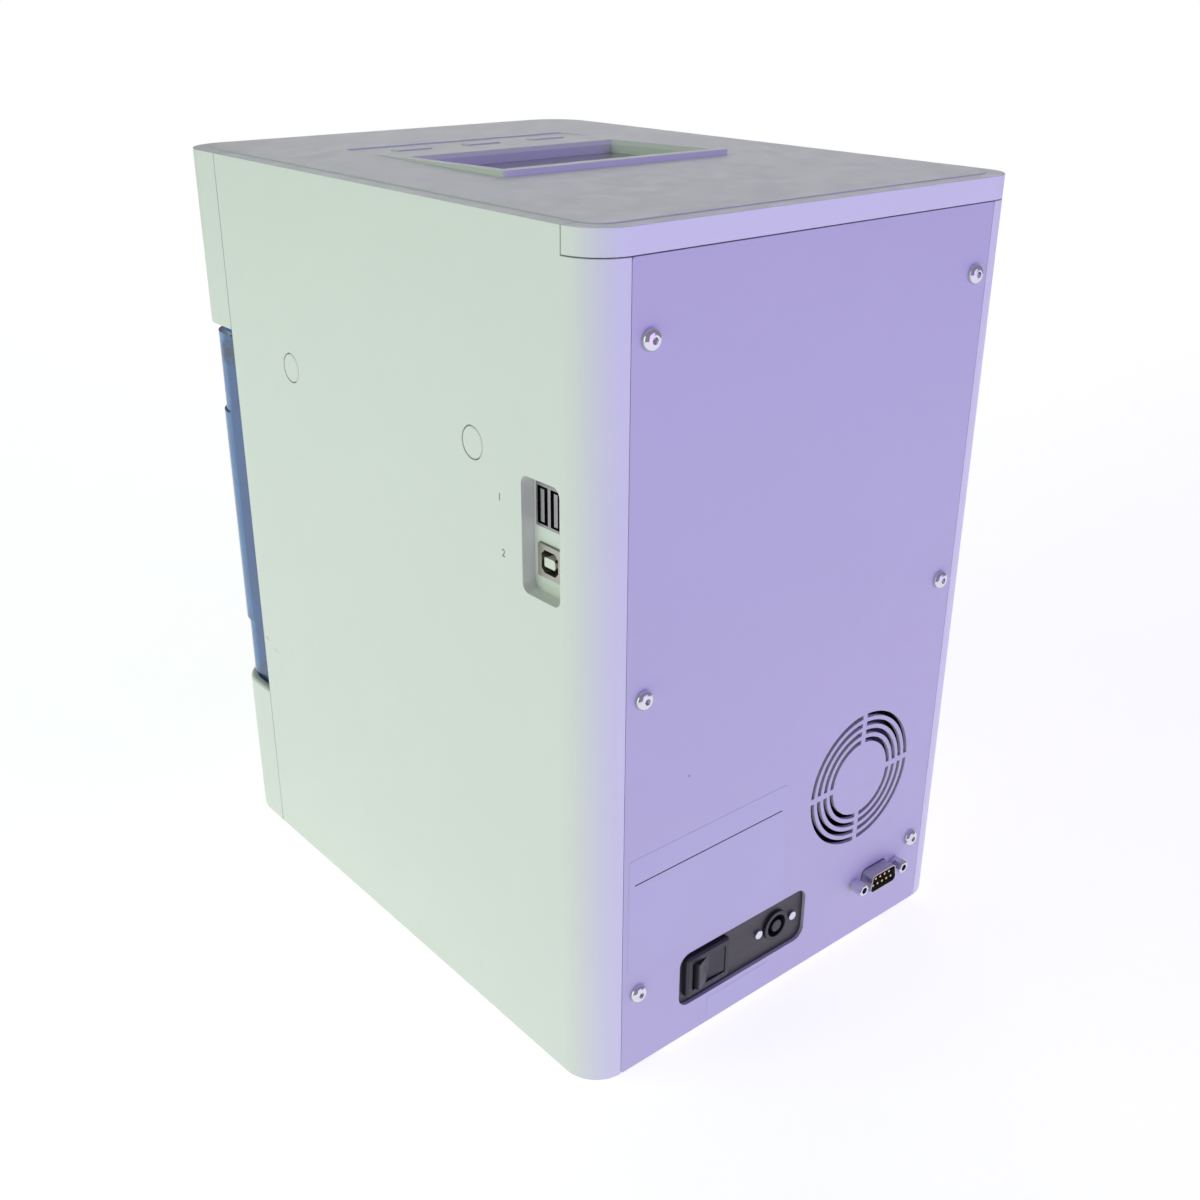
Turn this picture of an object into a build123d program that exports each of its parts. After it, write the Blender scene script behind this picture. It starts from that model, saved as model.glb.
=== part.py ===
from build123d import *
import os
from math import atan2, cos, degrees, radians, sin

# Bench-top automated purification system. All sizes are in millimetres.
# The body stands on four feet. X runs across the body with the port side at +X,
# Y runs from the door at the front (-Y) to the rear panel (+Y), Z is up and is
# zero at the bottom of the feet, midway across and midway front to back.

# Outer body
body_width = 195.0
body_height = 300.0
cover_depth = 226.0
fascia_depth = 32.0
rear_corner_radius = 14.0
front_corner_radius = 19.0
foot_height = 3.0
foot_radius = 8.0
foot_inset = 20.0
seam_gap = 0.4

# Walls
cover_wall = 2.5
fascia_wall = 3.0
panel_thickness = 1.5
sheet = 2.0
floor_thickness = 2.0

# Rear panel and its screws
rear_seam_inset = 13.9
panel_screw_spacing = 152.4
panel_screw_heights = (33.0, 151.0, 267.6)
panel_screw_head_radius = 3.5
panel_screw_head_height = 2.3
screw_radius = 1.5
screw_clearance = 0.15
screw_length = 7.0
thread_clearance = 0.05

# Top cover: the border strip round it, its rear rim and the tilted control panel
border_width = 6.5
ledge_width = 8.0
plateau_rise = 0.3
rim_height = 8.0
rim_return = 14.0
bezel_width = 107.0
bezel_rear = 100.0
bezel_front = 203.0
bezel_level_at = 183.5
bezel_rise = 2.0
bezel_thickness = 5.0
screen_width = 95.0
screen_depth = 55.0
screen_rear = 107.5
screen_bevel = 1.6
glass_thickness = 1.5
glass_overlap = 3.0
display_thickness = 6.0
key_width = 16.5
key_depth = 5.2
key_spacing = 32.9
key_from_rear = 187.5
key_proud = 0.5
key_travel = 0.8
key_gap = 0.25
key_flange = 1.2
key_flange_thickness = 1.0

# Upper and lower halves of the front fascia, and the door between them
lower_shell_height = 68.5
upper_shell_bottom = 232.3
bulkhead_thickness = 3.0
chamber_width = 156.0
chamber_bottom = 75.0
chamber_top = 223.0
door_gap = 0.5
door_setback = 0.6
door_wall = 3.0
door_corner_radius = 15.0
door_bottom = 70.0
door_top = 227.4
door_back_gap = 3.0
door_band_proud = 1.0
band_bottom_front = 97.0
band_bottom_back = 100.8
band_top_front = 193.6
band_top_back = 201.0
hinge_from_seam = 16.0
hinge_height = 219.0
hinge_pin_radius = 2.0
hinge_clearance = 0.05
hinge_boss_radius = 5.0
hinge_boss_length = 3.0
hinge_ear_thickness = 7.0
hinge_side_gap = 0.4
finger_scoop_width = 60.0
finger_scoop_depth = 7.0
catch_radius = 4.0
catch_thickness = 2.5
catch_spacing = 172.0

# Round plugs over the side screws, and the port recess on the +X side
plug_radius = 5.4
plug_gap = 0.35
plug_thickness = 2.5
plug_height = 226.4
plug_from_rear = (60.0, 178.0)
cup_wall = 2.2
side_screw_head_radius = 3.6
side_screw_head_height = 2.2
cup_depth = 8.0
port_front = 34.5
port_rear = 15.5
port_bottom = 183.4
port_top = 222.7
port_corner_radius = 3.0
port_recess_depth = 5.0
port_wall = 1.5
port_plate_thickness = 1.2
socket_gap = 0.15
host_socket_width = 13.2
host_socket_height = 14.3
host_slot_width = 5.2
host_slot_height = 12.5
host_slot_pitch = 6.6
host_socket_centre = 213.0
device_socket_width = 12.0
device_socket_height = 11.0
device_socket_centre = 194.5
socket_length = 17.0
socket_from_rear = 25.6
board_thickness = 1.6

# Ventilation grille and the fan behind it
fan_x = -39.2
fan_height = 76.4
fan_size = 60.0
fan_depth = 15.0
fan_bore_radius = 28.8
fan_hub_radius = 14.0
fan_blades = 7
grille_rings = 4
grille_inner_radius = 15.7
grille_slot = 1.9
grille_rib = 1.7
grille_spoke = 2.4

# Power inlet in its own plate behind the rear panel
inlet_left = 55.5
inlet_right = -12.0
inlet_bottom = 14.0
inlet_top = 37.5
inlet_corner_radius = 5.0
inlet_plate_border = 6.0
inlet_plate_thickness = 1.2
switch_x = 41.4
switch_height = 26.4
switch_width = 22.0
switch_tall = 17.8
switch_flange = 2.6
switch_body_width = 19.0
switch_body_tall = 13.0
switch_body_depth = 16.0
rocker_width = 16.4
rocker_tall = 11.4
rocker_gap = 0.3
rocker_tilt = 8.0
rocker_axis_depth = 2.4
rocker_rise = 4.2
socket_x = 3.6
socket_height = 26.3
socket_radius = 6.3
socket_cavity_radius = 4.8
socket_cavity_depth = 6.5
socket_screw_spacing = 18.8
socket_screw_head_radius = 1.9
socket_screw_head_height = 1.1
socket_depth = 14.0

# Nine-way serial connector with its jackscrews
serial_x = -54.0
serial_height = 25.1
serial_width = 16.9
serial_tall = 8.4
serial_slant = 10.0
serial_corner_radius = 2.2
serial_shell_wall = 0.5
serial_cavity_depth = 5.6
serial_flange_width = 30.8
serial_flange_tall = 12.5
serial_flange_thickness = 1.0
serial_body_depth = 9.0
serial_pin_pitch = 2.77
serial_row_pitch = 2.84
serial_pin_radius = 0.5
jack_spacing = 24.99
jack_across_flats = 4.8
jack_length = 6.0
jack_thread_radius = 1.4
jack_thread_depth = 5.0

# Sample chamber, plate tray and the magnet head above it
frame_inset = 17.5
frame_height = 264.0
deck_thickness = 3.0
back_wall_from_rear = 66.0
plate_length = 127.8
plate_width = 85.5
plate_gap = 0.4
tray_border = 4.0
tray_thickness = 4.0
tray_height = 16.0
lug_height = 5.0
heater_thickness = 6.0
tray_travel = 45.0
tray_front_gap = 3.6
rail_radius = 3.0
rail_spacing = 60.0
rail_height = 6.5
runner_width = 12.0
runner_length = 30.0
runner_offsets = (-14.0, 36.0)
saddle_length = 6.0
running_clearance = 0.05
drive_screw_radius = 4.0
drive_motor_size = 28.0
drive_motor_length = 30.0
flat_motor_size = 35.0
flat_motor_length = 18.5
small_motor_size = 20.0
small_motor_length = 18.0
motor_gap = 0.2
rod_radius = 2.75
rod_pitch = 9.0
rods_per_row = 8
row_spacing = 54.0
comb_hole_radius = 4.1
comb_plate_height = 192.0
comb_plate_thickness = 4.0
head_border = 9.0
sleeve_travel = 45.0
magnet_travel = 42.0
rod_tip_gap = 3.0
rod_margin = 2.0
magnet_plate_thickness = 6.0
magnet_top_gap = 5.0
lift_plate_behind_head = 25.0
shaft_radius = 4.0
shaft_spacing = 92.0
shelf_depth = 18.0
shaft_from_lift_plate = 11.0
shelf_thickness = 4.0
lift_shelf_high = 260.0
travel_margin = 3.0
portal_width = 112.0
carriage_back_thickness = 4.0
bushing_radius = 7.5
bushing_length = 24.0
bushing_rise = 12.0
main_board_from_rear = 40.0
board_corner = 3.0

# Places worked out from the sizes above
half_width = body_width / 2
y_rear = (fascia_depth + cover_depth + door_band_proud - door_setback - jack_length) / 2
y_seam = y_rear - cover_depth
y_front = y_seam - fascia_depth
z_bottom = foot_height
z_top = z_bottom + body_height
panel_half = half_width - rear_seam_inset
panel_inner = y_rear - panel_thickness
top_plate = cover_wall
z_ledge = z_top - top_plate
inner_half = half_width - cover_wall
frame_x = half_width - frame_inset
z_floor = z_bottom + floor_thickness


def plan_outline(y_from, y_to, inset=0.0, front_radius=0.0, rear_radius=0.0):
    """Plan view of the body between two depths, pulled in at both sides by the inset."""
    with BuildSketch() as outline:
        with Locations((0, (y_from + y_to) / 2)):
            Rectangle(2 * (half_width - inset), y_to - y_from)
        if front_radius > 0:
            fillet(outline.vertices().group_by(Axis.Y)[0], front_radius)
        if rear_radius > 0:
            fillet(outline.vertices().group_by(Axis.Y)[-1], rear_radius)
    return outline.sketch


def block(x_from, x_to, y_from, y_to, z_from, z_to, mode=Mode.ADD):
    """A plain block between two corners, added to the open part."""
    middle = ((x_from + x_to) / 2, (y_from + y_to) / 2, (z_from + z_to) / 2)
    with Locations(middle):
        Box(abs(x_to - x_from), abs(y_to - y_from), abs(z_to - z_from), mode=mode)


def domed_screw(head_radius, head_height, length, recess_radius):
    """A button-head screw along Z with its seat at zero and its head above it."""
    with BuildPart() as screw:
        with BuildSketch():
            Circle(head_radius)
        extrude(amount=head_height)
        fillet(screw.faces().sort_by(Axis.Z)[-1].edges(), head_height * 0.8)
        with BuildSketch():
            Circle(screw_radius)
        extrude(amount=-length)
        with BuildSketch(Plane.XY.offset(head_height)):
            RegularPolygon(recess_radius, 6)
        extrude(amount=-head_height * 0.6, mode=Mode.SUBTRACT)
    return screw.part


def save(piece, name):
    """Label one finished piece and write it to its own file."""
    piece.part.label = name
    export_step(piece.part, f"parts/{name}.step")


os.makedirs("parts", exist_ok=True)

# Feet: four short rubber discs with a softened lower edge
foot_x = half_width - foot_inset
foot_ys = (y_front + fascia_depth + foot_inset, y_rear - foot_inset)
with BuildPart() as rubber_feet:
    with Locations([(sx * foot_x, y, 0) for sx in (-1, 1) for y in foot_ys]):
        Cylinder(foot_radius, foot_height, align=(Align.CENTER, Align.CENTER, Align.MIN))
    fillet(rubber_feet.edges().group_by(Axis.Z)[0], foot_height / 4)
save(rubber_feet, "rubber_feet")

# Base chassis: a folded tray that carries the frames, the covers and the feet
chassis_half = inner_half - seam_gap / 2
chassis_lip = 14.0
with BuildPart() as base_chassis:
    with BuildSketch(Plane.XY.offset(z_bottom)):
        add(plan_outline(y_seam + seam_gap, panel_inner - sheet, half_width - chassis_half, 0,
                         rear_corner_radius - cover_wall))
    extrude(amount=floor_thickness)
    for side in (-1, 1):
        block(side * (chassis_half - sheet), side * chassis_half, y_seam + 2 * bulkhead_thickness,
              y_rear - rear_corner_radius, z_bottom, z_bottom + chassis_lip)
    block(-panel_half + 3 * rear_seam_inset / 2, panel_half - 3 * rear_seam_inset / 2,
          panel_inner - sheet, panel_inner, z_bottom, z_bottom + inlet_bottom - inlet_plate_border)
save(base_chassis, "base_chassis")

# Rear posts: folded angles behind the long edges of the rear panel, with screw holes
post_inner = panel_screw_spacing / 2 - 5.5
post_outer = panel_half - seam_gap
post_depth = 16.0
post_top = z_top - rim_height - seam_gap
for side, name in ((-1, "rear_post_left"), (1, "rear_post_right")):
    with BuildPart() as rear_post:
        block(side * post_inner, side * post_outer, panel_inner - sheet, panel_inner, z_floor, post_top)
        block(side * (post_outer - sheet), side * post_outer, panel_inner - post_depth, panel_inner,
              z_floor, post_top)
        block(side * post_inner, side * post_outer, panel_inner - post_depth, panel_inner,
              z_floor, z_floor + sheet)
        with BuildSketch(Plane.XZ.offset(-panel_inner)):
            with Locations([(side * panel_screw_spacing / 2, z_bottom + h) for h in panel_screw_heights]):
                Circle(screw_radius + thread_clearance)
        extrude(amount=sheet, mode=Mode.SUBTRACT)
    save(rear_post, name)

# Rear panel: painted sheet with its grille, the power cut-out and the connector cut-out
panel_top = z_top - rim_height - seam_gap
with BuildPart() as rear_panel:
    block(-panel_half + seam_gap / 2, panel_half - seam_gap / 2, panel_inner, y_rear, z_bottom, panel_top)
    fillet(rear_panel.edges().filter_by(Axis.Y), 1.0)
    with BuildSketch(Plane.XZ.offset(-y_rear)):
        with Locations([(side * panel_screw_spacing / 2, z_bottom + h)
                        for side in (-1, 1) for h in panel_screw_heights]):
            Circle(screw_radius + screw_clearance)
        with Locations(((inlet_left + inlet_right) / 2, z_bottom + (inlet_bottom + inlet_top) / 2)):
            RectangleRounded(inlet_left - inlet_right, inlet_top - inlet_bottom, inlet_corner_radius)
        with Locations([(serial_x + s * jack_spacing / 2, z_bottom + serial_height) for s in (-1, 1)]):
            Circle(jack_thread_radius + 2 * screw_clearance)
    extrude(amount=panel_thickness, mode=Mode.SUBTRACT)
    grille_pitch = grille_slot + grille_rib
    with BuildSketch(Plane.XZ.offset(-y_rear)):
        with Locations((fan_x, z_bottom + fan_height)):
            for ring in reversed(range(grille_rings)):
                ring_radius = grille_inner_radius + ring * grille_pitch
                Circle(ring_radius + grille_slot)
                Circle(ring_radius, mode=Mode.SUBTRACT)
            grille_reach = 2 * (grille_inner_radius + grille_rings * grille_pitch)
            Rectangle(grille_reach, grille_spoke, mode=Mode.SUBTRACT)
            Rectangle(grille_spoke, grille_reach, mode=Mode.SUBTRACT)
    extrude(amount=panel_thickness, mode=Mode.SUBTRACT)


def serial_outline(grow):
    """The connector's D outline, wide side down, grown all round."""
    half_high = serial_tall / 2 + grow
    wide = serial_width / 2 + grow
    narrow = wide - 2 * half_high * sin(radians(serial_slant)) / cos(radians(serial_slant))
    with BuildSketch() as outline:
        with BuildLine():
            Polyline((-wide, -half_high), (wide, -half_high), (narrow, half_high),
                     (-narrow, half_high), close=True)
        make_face()
        fillet(outline.vertices(), serial_corner_radius + grow)
    return outline.sketch


serial_plane = Plane(origin=(serial_x, y_rear, z_bottom + serial_height), x_dir=(1, 0, 0), z_dir=(0, -1, 0))
serial_opening = serial_outline(2 * socket_gap)
with rear_panel:
    with BuildSketch(serial_plane):
        add(serial_opening)
    extrude(amount=panel_thickness, mode=Mode.SUBTRACT)
save(rear_panel, "rear_panel")

# Rear panel screws
button_screw = domed_screw(panel_screw_head_radius, panel_screw_head_height, screw_length, 1.2)
with BuildPart() as rear_panel_screws:
    with Locations([Location((side * panel_screw_spacing / 2, y_rear, z_bottom + h), (-90, 0, 0))
                    for side in (-1, 1) for h in panel_screw_heights]):
        add(button_screw)
save(rear_panel_screws, "rear_panel_screws")

# Side covers: one bent wall each, with a border strip and ledge along the top
rim_front = y_rear - rim_return
plug_centres = [(y_rear - d, z_bottom + plug_height) for d in plug_from_rear]
cup_radius = plug_radius + plug_gap + cup_wall
with BuildPart() as plain_side_cover:
    with BuildSketch(Plane.XY.offset(z_bottom)):
        add(plan_outline(y_seam + seam_gap, y_rear, 0, 0, rear_corner_radius))
        add(plan_outline(y_seam, y_rear - cover_wall, cover_wall, 0, rear_corner_radius - cover_wall),
            mode=Mode.SUBTRACT)
        with Locations(((panel_half - half_width) / 2, (y_seam + y_rear) / 2)):
            Rectangle(panel_half + half_width, cover_depth + seam_gap, mode=Mode.SUBTRACT)
    extrude(amount=body_height)
    strip_edge = half_width - border_width
    block(strip_edge, half_width - cover_wall / 2, y_seam + seam_gap, rim_front, z_ledge, z_top)
    block(strip_edge - ledge_width, half_width - cover_wall / 2, y_seam + 2 * bulkhead_thickness,
          rim_front, z_ledge - top_plate, z_ledge)
    block(panel_half - 1, half_width + 1, rim_front - seam_gap, y_rear + 1,
          z_top - rim_height - seam_gap, z_top + 1, mode=Mode.SUBTRACT)
    with BuildSketch(Plane.YZ.offset(half_width)):
        with Locations(plug_centres):
            Circle(cup_radius)
    extrude(amount=-cup_depth)
    with BuildSketch(Plane.YZ.offset(half_width)):
        with Locations(plug_centres):
            Circle(plug_radius + plug_gap)
    extrude(amount=-plug_thickness, mode=Mode.SUBTRACT)
    with BuildSketch(Plane.YZ.offset(half_width)):
        with Locations(plug_centres):
            Circle(side_screw_head_radius + plug_gap)
    extrude(amount=-(cup_depth - cup_wall), mode=Mode.SUBTRACT)
    with BuildSketch(Plane.YZ.offset(half_width)):
        with Locations(plug_centres):
            Circle(screw_radius + screw_clearance)
    extrude(amount=-cup_depth, mode=Mode.SUBTRACT)

with BuildPart() as left_side_cover:
    mirror(plain_side_cover.part, about=Plane.YZ)
save(left_side_cover, "left_side_cover")

port_y = y_rear - (port_front + port_rear) / 2
port_z = z_bottom + (port_bottom + port_top) / 2
port_long = port_front - port_rear
port_high = port_top - port_bottom
port_floor = half_width - port_recess_depth
with BuildPart() as right_side_cover:
    add(plain_side_cover.part)
    with BuildSketch(Plane.YZ.offset(port_floor)):
        with Locations((port_y, port_z)):
            RectangleRounded(port_long + 2 * port_wall, port_high + 2 * port_wall,
                             port_corner_radius + port_wall)
    extrude(amount=port_recess_depth - cover_wall / 2)
    with BuildSketch(Plane.YZ.offset(port_floor)):
        with Locations((port_y, port_z)):
            RectangleRounded(port_long, port_high, port_corner_radius)
    extrude(amount=port_recess_depth, mode=Mode.SUBTRACT)
save(right_side_cover, "right_side_cover")

# Plugs over the side screws, flush with the covers, and the screws under them
with BuildPart() as side_plugs:
    for side in (-1, 1):
        with BuildSketch(Plane.YZ.offset(side * half_width)):
            with Locations(plug_centres):
                Circle(plug_radius)
        extrude(amount=-side * plug_thickness)
    chamfer(side_plugs.edges().group_by(Axis.X)[0] + side_plugs.edges().group_by(Axis.X)[-1], 0.25)
save(side_plugs, "side_plugs")

side_screw_seat = half_width - cup_depth + cup_wall
side_screw = domed_screw(side_screw_head_radius, side_screw_head_height, screw_length, 1.2)
with BuildPart() as side_cover_screws:
    with Locations([Location((side_screw_seat, y, z), (0, 90, 0)) for y, z in plug_centres]
                   + [Location((-side_screw_seat, y, z), (0, -90, 0)) for y, z in plug_centres]):
        add(side_screw)
save(side_cover_screws, "side_cover_screws")

# Port plate at the bottom of the recess, the two sockets and their board
socket_y = y_rear - socket_from_rear
host_z = z_bottom + host_socket_centre
device_z = z_bottom + device_socket_centre
with BuildPart() as port_plate:
    with BuildSketch(Plane.YZ.offset(port_floor)):
        with Locations((port_y, port_z)):
            RectangleRounded(port_long + 2 * port_wall, port_high + 2 * port_wall,
                             port_corner_radius + port_wall)
        with Locations((socket_y, host_z)):
            Rectangle(host_socket_width + 2 * socket_gap, host_socket_height + 2 * socket_gap,
                      mode=Mode.SUBTRACT)
        with Locations((socket_y, device_z)):
            Rectangle(device_socket_width + 2 * socket_gap, device_socket_height + 2 * socket_gap,
                      mode=Mode.SUBTRACT)
    extrude(amount=-port_plate_thickness)
save(port_plate, "port_plate")

socket_back = port_floor + 1 - socket_length
with BuildPart() as host_port_stack:
    with BuildSketch(Plane.YZ.offset(socket_back)):
        with Locations((socket_y, host_z)):
            Rectangle(host_socket_width, host_socket_height)
    extrude(amount=socket_length)
    with BuildSketch(Plane.YZ.offset(socket_back + socket_length)):
        with Locations([(socket_y + s * host_slot_pitch / 2, host_z) for s in (-1, 1)]):
            Rectangle(host_slot_width, host_slot_height)
            Rectangle(1.8, 10.8, mode=Mode.SUBTRACT)
    extrude(amount=-(socket_length - 4), mode=Mode.SUBTRACT)
save(host_port_stack, "host_port_stack")

with BuildPart() as device_port:
    with BuildSketch(Plane.YZ.offset(socket_back)):
        with Locations((socket_y, device_z)):
            Rectangle(device_socket_width, device_socket_height)
    extrude(amount=socket_length)
    with BuildSketch(Plane.YZ.offset(socket_back + socket_length)) as device_mouth:
        with Locations((socket_y, device_z)):
            Rectangle(8.4, 7.8)
        chamfer(device_mouth.vertices().group_by(Axis.Z)[-1], 1.6)
        with Locations((socket_y, device_z)):
            Rectangle(5.4, 3.2, mode=Mode.SUBTRACT)
    extrude(amount=-(socket_length - 6), mode=Mode.SUBTRACT)
save(device_port, "device_port")

with BuildPart() as port_board:
    block(socket_back - board_thickness, socket_back, y_rear - 1.5 * port_front, y_rear - port_rear,
          z_bottom + port_bottom - 2 * cup_wall, z_bottom + port_top + cup_wall)
save(port_board, "port_board")

# Top cover: plate between the border strips, rear rim round both corners, control panel
plate_front = y_front + border_width + seam_gap / 4
bezel_tilt = degrees(atan2(bezel_rise, bezel_level_at - bezel_rear))
bezel_plane = Plane(origin=(0, y_rear - bezel_level_at, z_top + plateau_rise), x_dir=(1, 0, 0),
                    z_dir=(0, -sin(radians(bezel_tilt)), cos(radians(bezel_tilt))))


def on_bezel(from_rear):
    """Distance along the tilted control panel of a depth measured from the rear face."""
    return (bezel_level_at - from_rear) / cos(radians(bezel_tilt))


bezel_middle = (on_bezel(bezel_rear) + on_bezel(bezel_front)) / 2
bezel_long = on_bezel(bezel_rear) - on_bezel(bezel_front)
screen_middle = on_bezel(screen_rear + screen_depth / 2)
key_middle = on_bezel(key_from_rear)
key_places = [(column * key_spacing, key_middle) for column in (-1, 0, 1)]
with BuildPart() as top_cover:
    with BuildSketch(Plane.XY.offset(z_ledge)):
        add(plan_outline(plate_front, y_rear - border_width, border_width + seam_gap / 4,
                         front_corner_radius - border_width, rear_corner_radius - border_width))
    extrude(amount=top_plate + plateau_rise)
    with BuildSketch(Plane.XY.offset(z_top - rim_height)):
        add(plan_outline(rim_front, y_rear, 0, 0, rear_corner_radius))
    extrude(amount=rim_height)
    with BuildSketch(Plane.XY.offset(z_top - rim_height)):
        add(plan_outline(rim_front, y_rear - cover_wall, cover_wall, 0, rear_corner_radius - cover_wall))
    extrude(amount=rim_height - top_plate, mode=Mode.SUBTRACT)
    with BuildSketch(bezel_plane):
        with Locations((0, bezel_middle)):
            RectangleRounded(bezel_width, bezel_long, 2.0)
    extrude(amount=-bezel_thickness)
    with BuildSketch(bezel_plane):
        with Locations((0, bezel_middle)):
            RectangleRounded(bezel_width, bezel_long, 2.0)
    extrude(amount=bezel_thickness, mode=Mode.SUBTRACT)
    with BuildSketch(bezel_plane.offset(-bezel_thickness)):
        with Locations((0, screen_middle)):
            Rectangle(screen_width, screen_depth)
        with Locations(key_places):
            RectangleRounded(key_width + 2 * key_gap, key_depth + 2 * key_gap, 1.2)
    extrude(amount=2 * bezel_thickness, mode=Mode.SUBTRACT)
    with BuildSketch(bezel_plane):
        with Locations((0, screen_middle)):
            Rectangle(screen_width + 2 * screen_bevel, screen_depth + 2 * screen_bevel)
    extrude(amount=-screen_bevel, taper=45, mode=Mode.SUBTRACT)
save(top_cover, "top_cover")

# Screen: cover glass under the bevelled window and the display module behind it
glass_plane = bezel_plane.offset(-bezel_thickness)
with BuildPart() as screen_glass:
    with BuildSketch(glass_plane):
        with Locations((0, screen_middle)):
            RectangleRounded(screen_width + 2 * glass_overlap, screen_depth + 2 * glass_overlap, 1.0)
    extrude(amount=-glass_thickness)
save(screen_glass, "screen_glass")

with BuildPart() as display_module:
    with BuildSketch(glass_plane.offset(-glass_thickness)):
        with Locations((0, screen_middle)):
            RectangleRounded(screen_width + 2 * glass_overlap, screen_depth + 2 * glass_overlap, 1.0)
    extrude(amount=-display_thickness)
save(display_module, "display_module")

# Keys: a cap with a flange under the control panel, and the board with their switches
key_bottom = bezel_plane.offset(-bezel_thickness)
for place, name in zip(key_places, ("key_left", "key_centre", "key_right")):
    with BuildPart() as key:
        with BuildSketch(key_bottom):
            with Locations(place):
                RectangleRounded(key_width, key_depth, 1.0)
        extrude(amount=bezel_thickness + key_proud)
        fillet(key.faces().sort_by(Axis.Z)[-1].edges(), 0.3)
        with BuildSketch(key_bottom.offset(-thread_clearance)):
            with Locations(place):
                RectangleRounded(key_width + 2 * key_flange, key_depth + 2 * key_flange, 1.5)
        extrude(amount=-key_flange_thickness)
        with BuildSketch(key_bottom):
            with Locations(place):
                RectangleRounded(key_width, key_depth, 1.0)
        extrude(amount=-key_flange_thickness)
    save(key, name)

switch_height_over_board = 3.4
switch_size = 6.0
board_post_radius = 2.0
board_drop = key_flange_thickness + 2 * key_travel + switch_height_over_board
key_board_plane = key_bottom.offset(-board_drop)
with BuildPart() as key_board:
    with BuildSketch(key_board_plane):
        with Locations((0, key_middle)):
            RectangleRounded(2 * key_spacing + 2 * key_width, 3 * key_depth, 1.5)
    extrude(amount=-board_thickness)
    with BuildSketch(key_board_plane):
        with Locations(key_places):
            Rectangle(switch_size, switch_size)
    extrude(amount=switch_height_over_board)
    with BuildSketch(key_board_plane):
        with Locations([(column * key_spacing / 2, key_middle) for column in (-3, -1, 1, 3)]):
            Circle(board_post_radius)
    extrude(amount=board_drop)
save(key_board, "key_board")

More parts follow.
